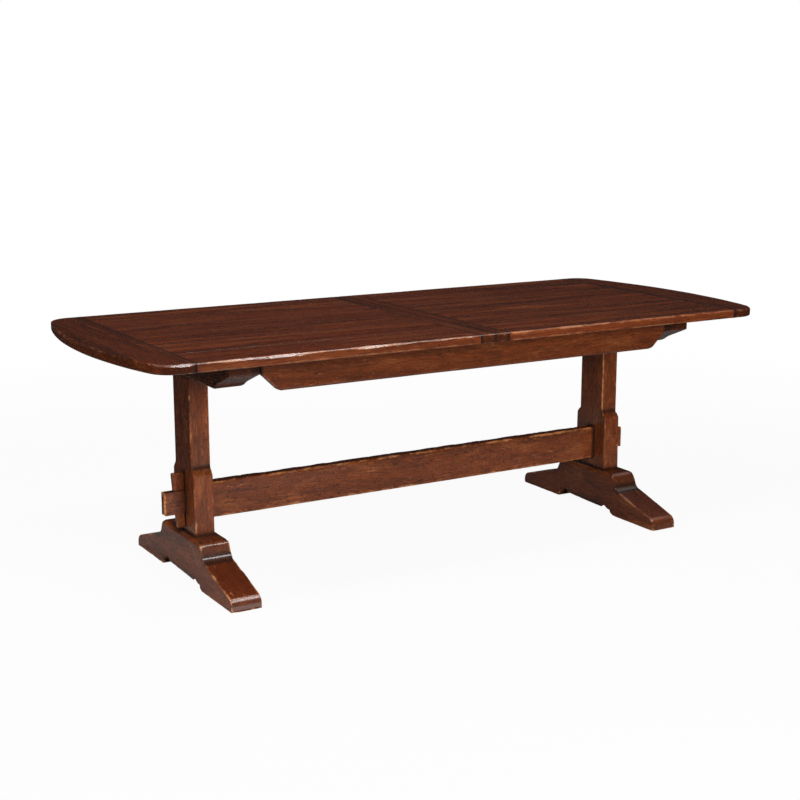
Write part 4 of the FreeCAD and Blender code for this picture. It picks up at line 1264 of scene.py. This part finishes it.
class TABLE_OT_studio(bpy.types.Operator):
    """Set the floor, the lights, the white background and the camera"""

    bl_idname = "table.studio"
    bl_label = "Studio"

    def execute(self, context):
        studio = context.scene.table_studio
        context.scene.view_settings.view_transform = "Standard"
        make_floor()
        make_flags()
        make_room(studio.room_light)
        for name, (*setting, unseen) in LAMPS.items():
            hide(softbox(name, *setting, getattr(studio, f"{name}_power")), *unseen)
        camera = bpy.data.cameras.new("camera")
        camera.lens = studio.lens
        camera.sensor_width = SENSOR_WIDTH
        holder = bpy.data.objects.new("camera", camera)
        holder.location = studio.eye
        holder.rotation_euler = (math.pi / 2 - studio.tilt, 0, -studio.turn)
        context.scene.collection.objects.link(holder)
        context.scene.camera = holder
        return {"FINISHED"}


def softbox(name, spot, target, width, height, watts):
    """A soft rectangular lamp that points at a target."""
    lamp = bpy.data.lights.new(name, "AREA")
    lamp.shape = "RECTANGLE"
    lamp.size, lamp.size_y = width, height
    lamp.energy = watts
    holder = bpy.data.objects.new(name, lamp)
    holder.location = spot
    holder.rotation_euler = (Vector(target) - Vector(spot)).to_track_quat("-Z", "Y").to_euler()
    bpy.context.scene.collection.objects.link(holder)
    return holder


def hide(item, *rays):
    """Keep some kinds of ray from seeing a thing."""
    for kind in rays:
        setattr(item, f"visible_{kind}", False)


def grey(level):
    """A plain grey, linear."""
    return (level, level, level, 1)


def seen_rays(tree):
    """Rays that should see the white background: straight, mirrored or through glass."""
    rays = add(tree, "ShaderNodeLightPath").outputs
    shiny = calculate(tree, "MAXIMUM", rays["Is Glossy Ray"], rays["Is Transmission Ray"])
    return calculate(tree, "MAXIMUM", rays["Is Camera Ray"], shiny)


def make_room(level):
    """Even light from the room, with a white background."""
    world = bpy.data.worlds.new("room")
    world.use_nodes = True
    bpy.context.scene.world = world
    tree = world.node_tree
    background = tree.nodes["Background"]
    background.inputs["Color"].default_value = grey(1)
    strength = between(tree, seen_rays(tree), 0, 1, level, 1.0)
    tree.links.new(strength, background.inputs["Strength"])


def sheet_of(bm, name):
    """A sheet of the stage."""
    mesh = bpy.data.meshes.new(name)
    bm.to_mesh(mesh)
    bm.free()
    item = bpy.data.objects.new(name, mesh)
    bpy.context.scene.collection.objects.link(item)
    return item


def flat_disc(name, radius):
    """A round sheet lying level."""
    bm = bmesh.new()
    bmesh.ops.create_circle(bm, cap_ends=True, segments=96, radius=radius)
    return sheet_of(bm, name)


def from_middle(tree):
    """How far a place on a sheet is from its middle."""
    return combine(tree, "LENGTH", add(tree, "ShaderNodeTexCoord").outputs["Object"], output="Value")


def make_floor():
    """A pale floor that stays white to the eye, keeps the table's shadow and is clear from below."""
    floor = flat_disc("floor", FLOOR_RADIUS)
    material = bpy.data.materials.new("floor")
    material.use_nodes = True
    tree = material.node_tree
    tree.nodes.remove(tree.nodes["Principled BSDF"])
    sheet = add(tree, "ShaderNodeBsdfDiffuse", {"Color": grey(FLOOR_GREY)}).outputs[0]
    white = add(tree, "ShaderNodeEmission", {"Strength": 1.0}).outputs[0]
    near_white = between(tree, from_middle(tree), *FLOOR_FADE, FLOOR_LIFT, 1.0)
    lift = calculate(tree, "MULTIPLY", near_white, seen_rays(tree))
    mixed = add(tree, "ShaderNodeMixShader", (lift, sheet, white)).outputs[0]
    below = add(tree, "ShaderNodeNewGeometry").outputs["Backfacing"]
    clear = add(tree, "ShaderNodeBsdfTransparent").outputs[0]
    seen = add(tree, "ShaderNodeMixShader", (below, mixed, clear)).outputs[0]
    tree.links.new(seen, tree.nodes["Material Output"].inputs["Surface"])
    floor.data.materials.append(material)


def make_flags():
    """A grey cloth on the floor and a darker one round the set, which only shiny faces see.

    They keep the white room from clouding the varnish.
    """
    cloth = flat_disc("floor_cloth", CLOTH_RADIUS)
    cloth.location = CLOTH_PLACE
    cloth.scale = CLOTH_STRETCH
    shader = cloth_shader(cloth)
    tree = shader.id_data
    shade = blend(tree, between(tree, from_middle(tree), *CLOTH_FADE), *map(grey, CLOTH_GREYS))
    tree.links.new(shade, shader.inputs["Base Color"])
    bm = bmesh.new()
    bmesh.ops.create_cone(
        bm, segments=64, radius1=WALL_RADIUS, radius2=WALL_RADIUS, depth=WALL_HEIGHT,
        matrix=Matrix.Translation((0, 0, WALL_HEIGHT / 2)))
    wall = sheet_of(bm, "wall_cloth")
    cloth_shader(wall).inputs["Base Color"].default_value = grey(WALL_GREY)


def cloth_shader(cloth):
    """Make a sheet a matt cloth that only shiny faces see, and give back its shader."""
    material = bpy.data.materials.new(cloth.name)
    material.use_nodes = True
    shader = material.node_tree.nodes["Principled BSDF"]
    shader.inputs["Roughness"].default_value = 1
    cloth.data.materials.append(material)
    hide(cloth, "camera", "diffuse", "shadow", "transmission")
    return shader


class TABLE_PT_sidebar(bpy.types.Panel):
    """The table's pieces, sizes, colours and studio in the sidebar"""

    bl_idname = "TABLE_PT_sidebar"
    bl_label = "Trestle table"
    bl_space_type = "VIEW_3D"
    bl_region_type = "UI"
    bl_category = "Table"

    def draw(self, context):
        for operator in OPERATORS:
            self.layout.operator(operator.bl_idname)
        for group in SETTINGS:
            column = self.layout.column(align=True)
            settings = getattr(context.scene, group)
            for name in settings.bl_rna.properties.keys():
                if name not in ("rna_type", "name"):
                    column.prop(settings, name)


OPERATORS = (
    TABLE_OT_boards, TABLE_OT_end_boards, TABLE_OT_battens, TABLE_OT_aprons, TABLE_OT_bearers,
    TABLE_OT_posts, TABLE_OT_feet, TABLE_OT_stretcher, TABLE_OT_wedges, TABLE_OT_slides, TABLE_OT_studio)
SETTINGS = {
    "table_shape": TableShape, "table_wear": WearSettings, "table_colours": WoodColours,
    "table_studio": StudioSettings}
CLASSES = (*SETTINGS.values(), *OPERATORS, TABLE_PT_sidebar)


def register():
    """Make the table's classes and settings known."""
    for item in CLASSES:
        bpy.utils.register_class(item)
    for name, group in SETTINGS.items():
        setattr(bpy.types.Scene, name, PointerProperty(type=group))


def unregister():
    """Forget the table's settings and classes."""
    for name in SETTINGS:
        delattr(bpy.types.Scene, name)
    for item in reversed(CLASSES):
        bpy.utils.unregister_class(item)


def main():
    """Make every piece in order."""
    register()
    for operator in OPERATORS:
        group, name = operator.bl_idname.split(".")
        getattr(getattr(bpy.ops, group), name)()
    bpy.context.view_layer.update()


if __name__ == "__main__":
    main()
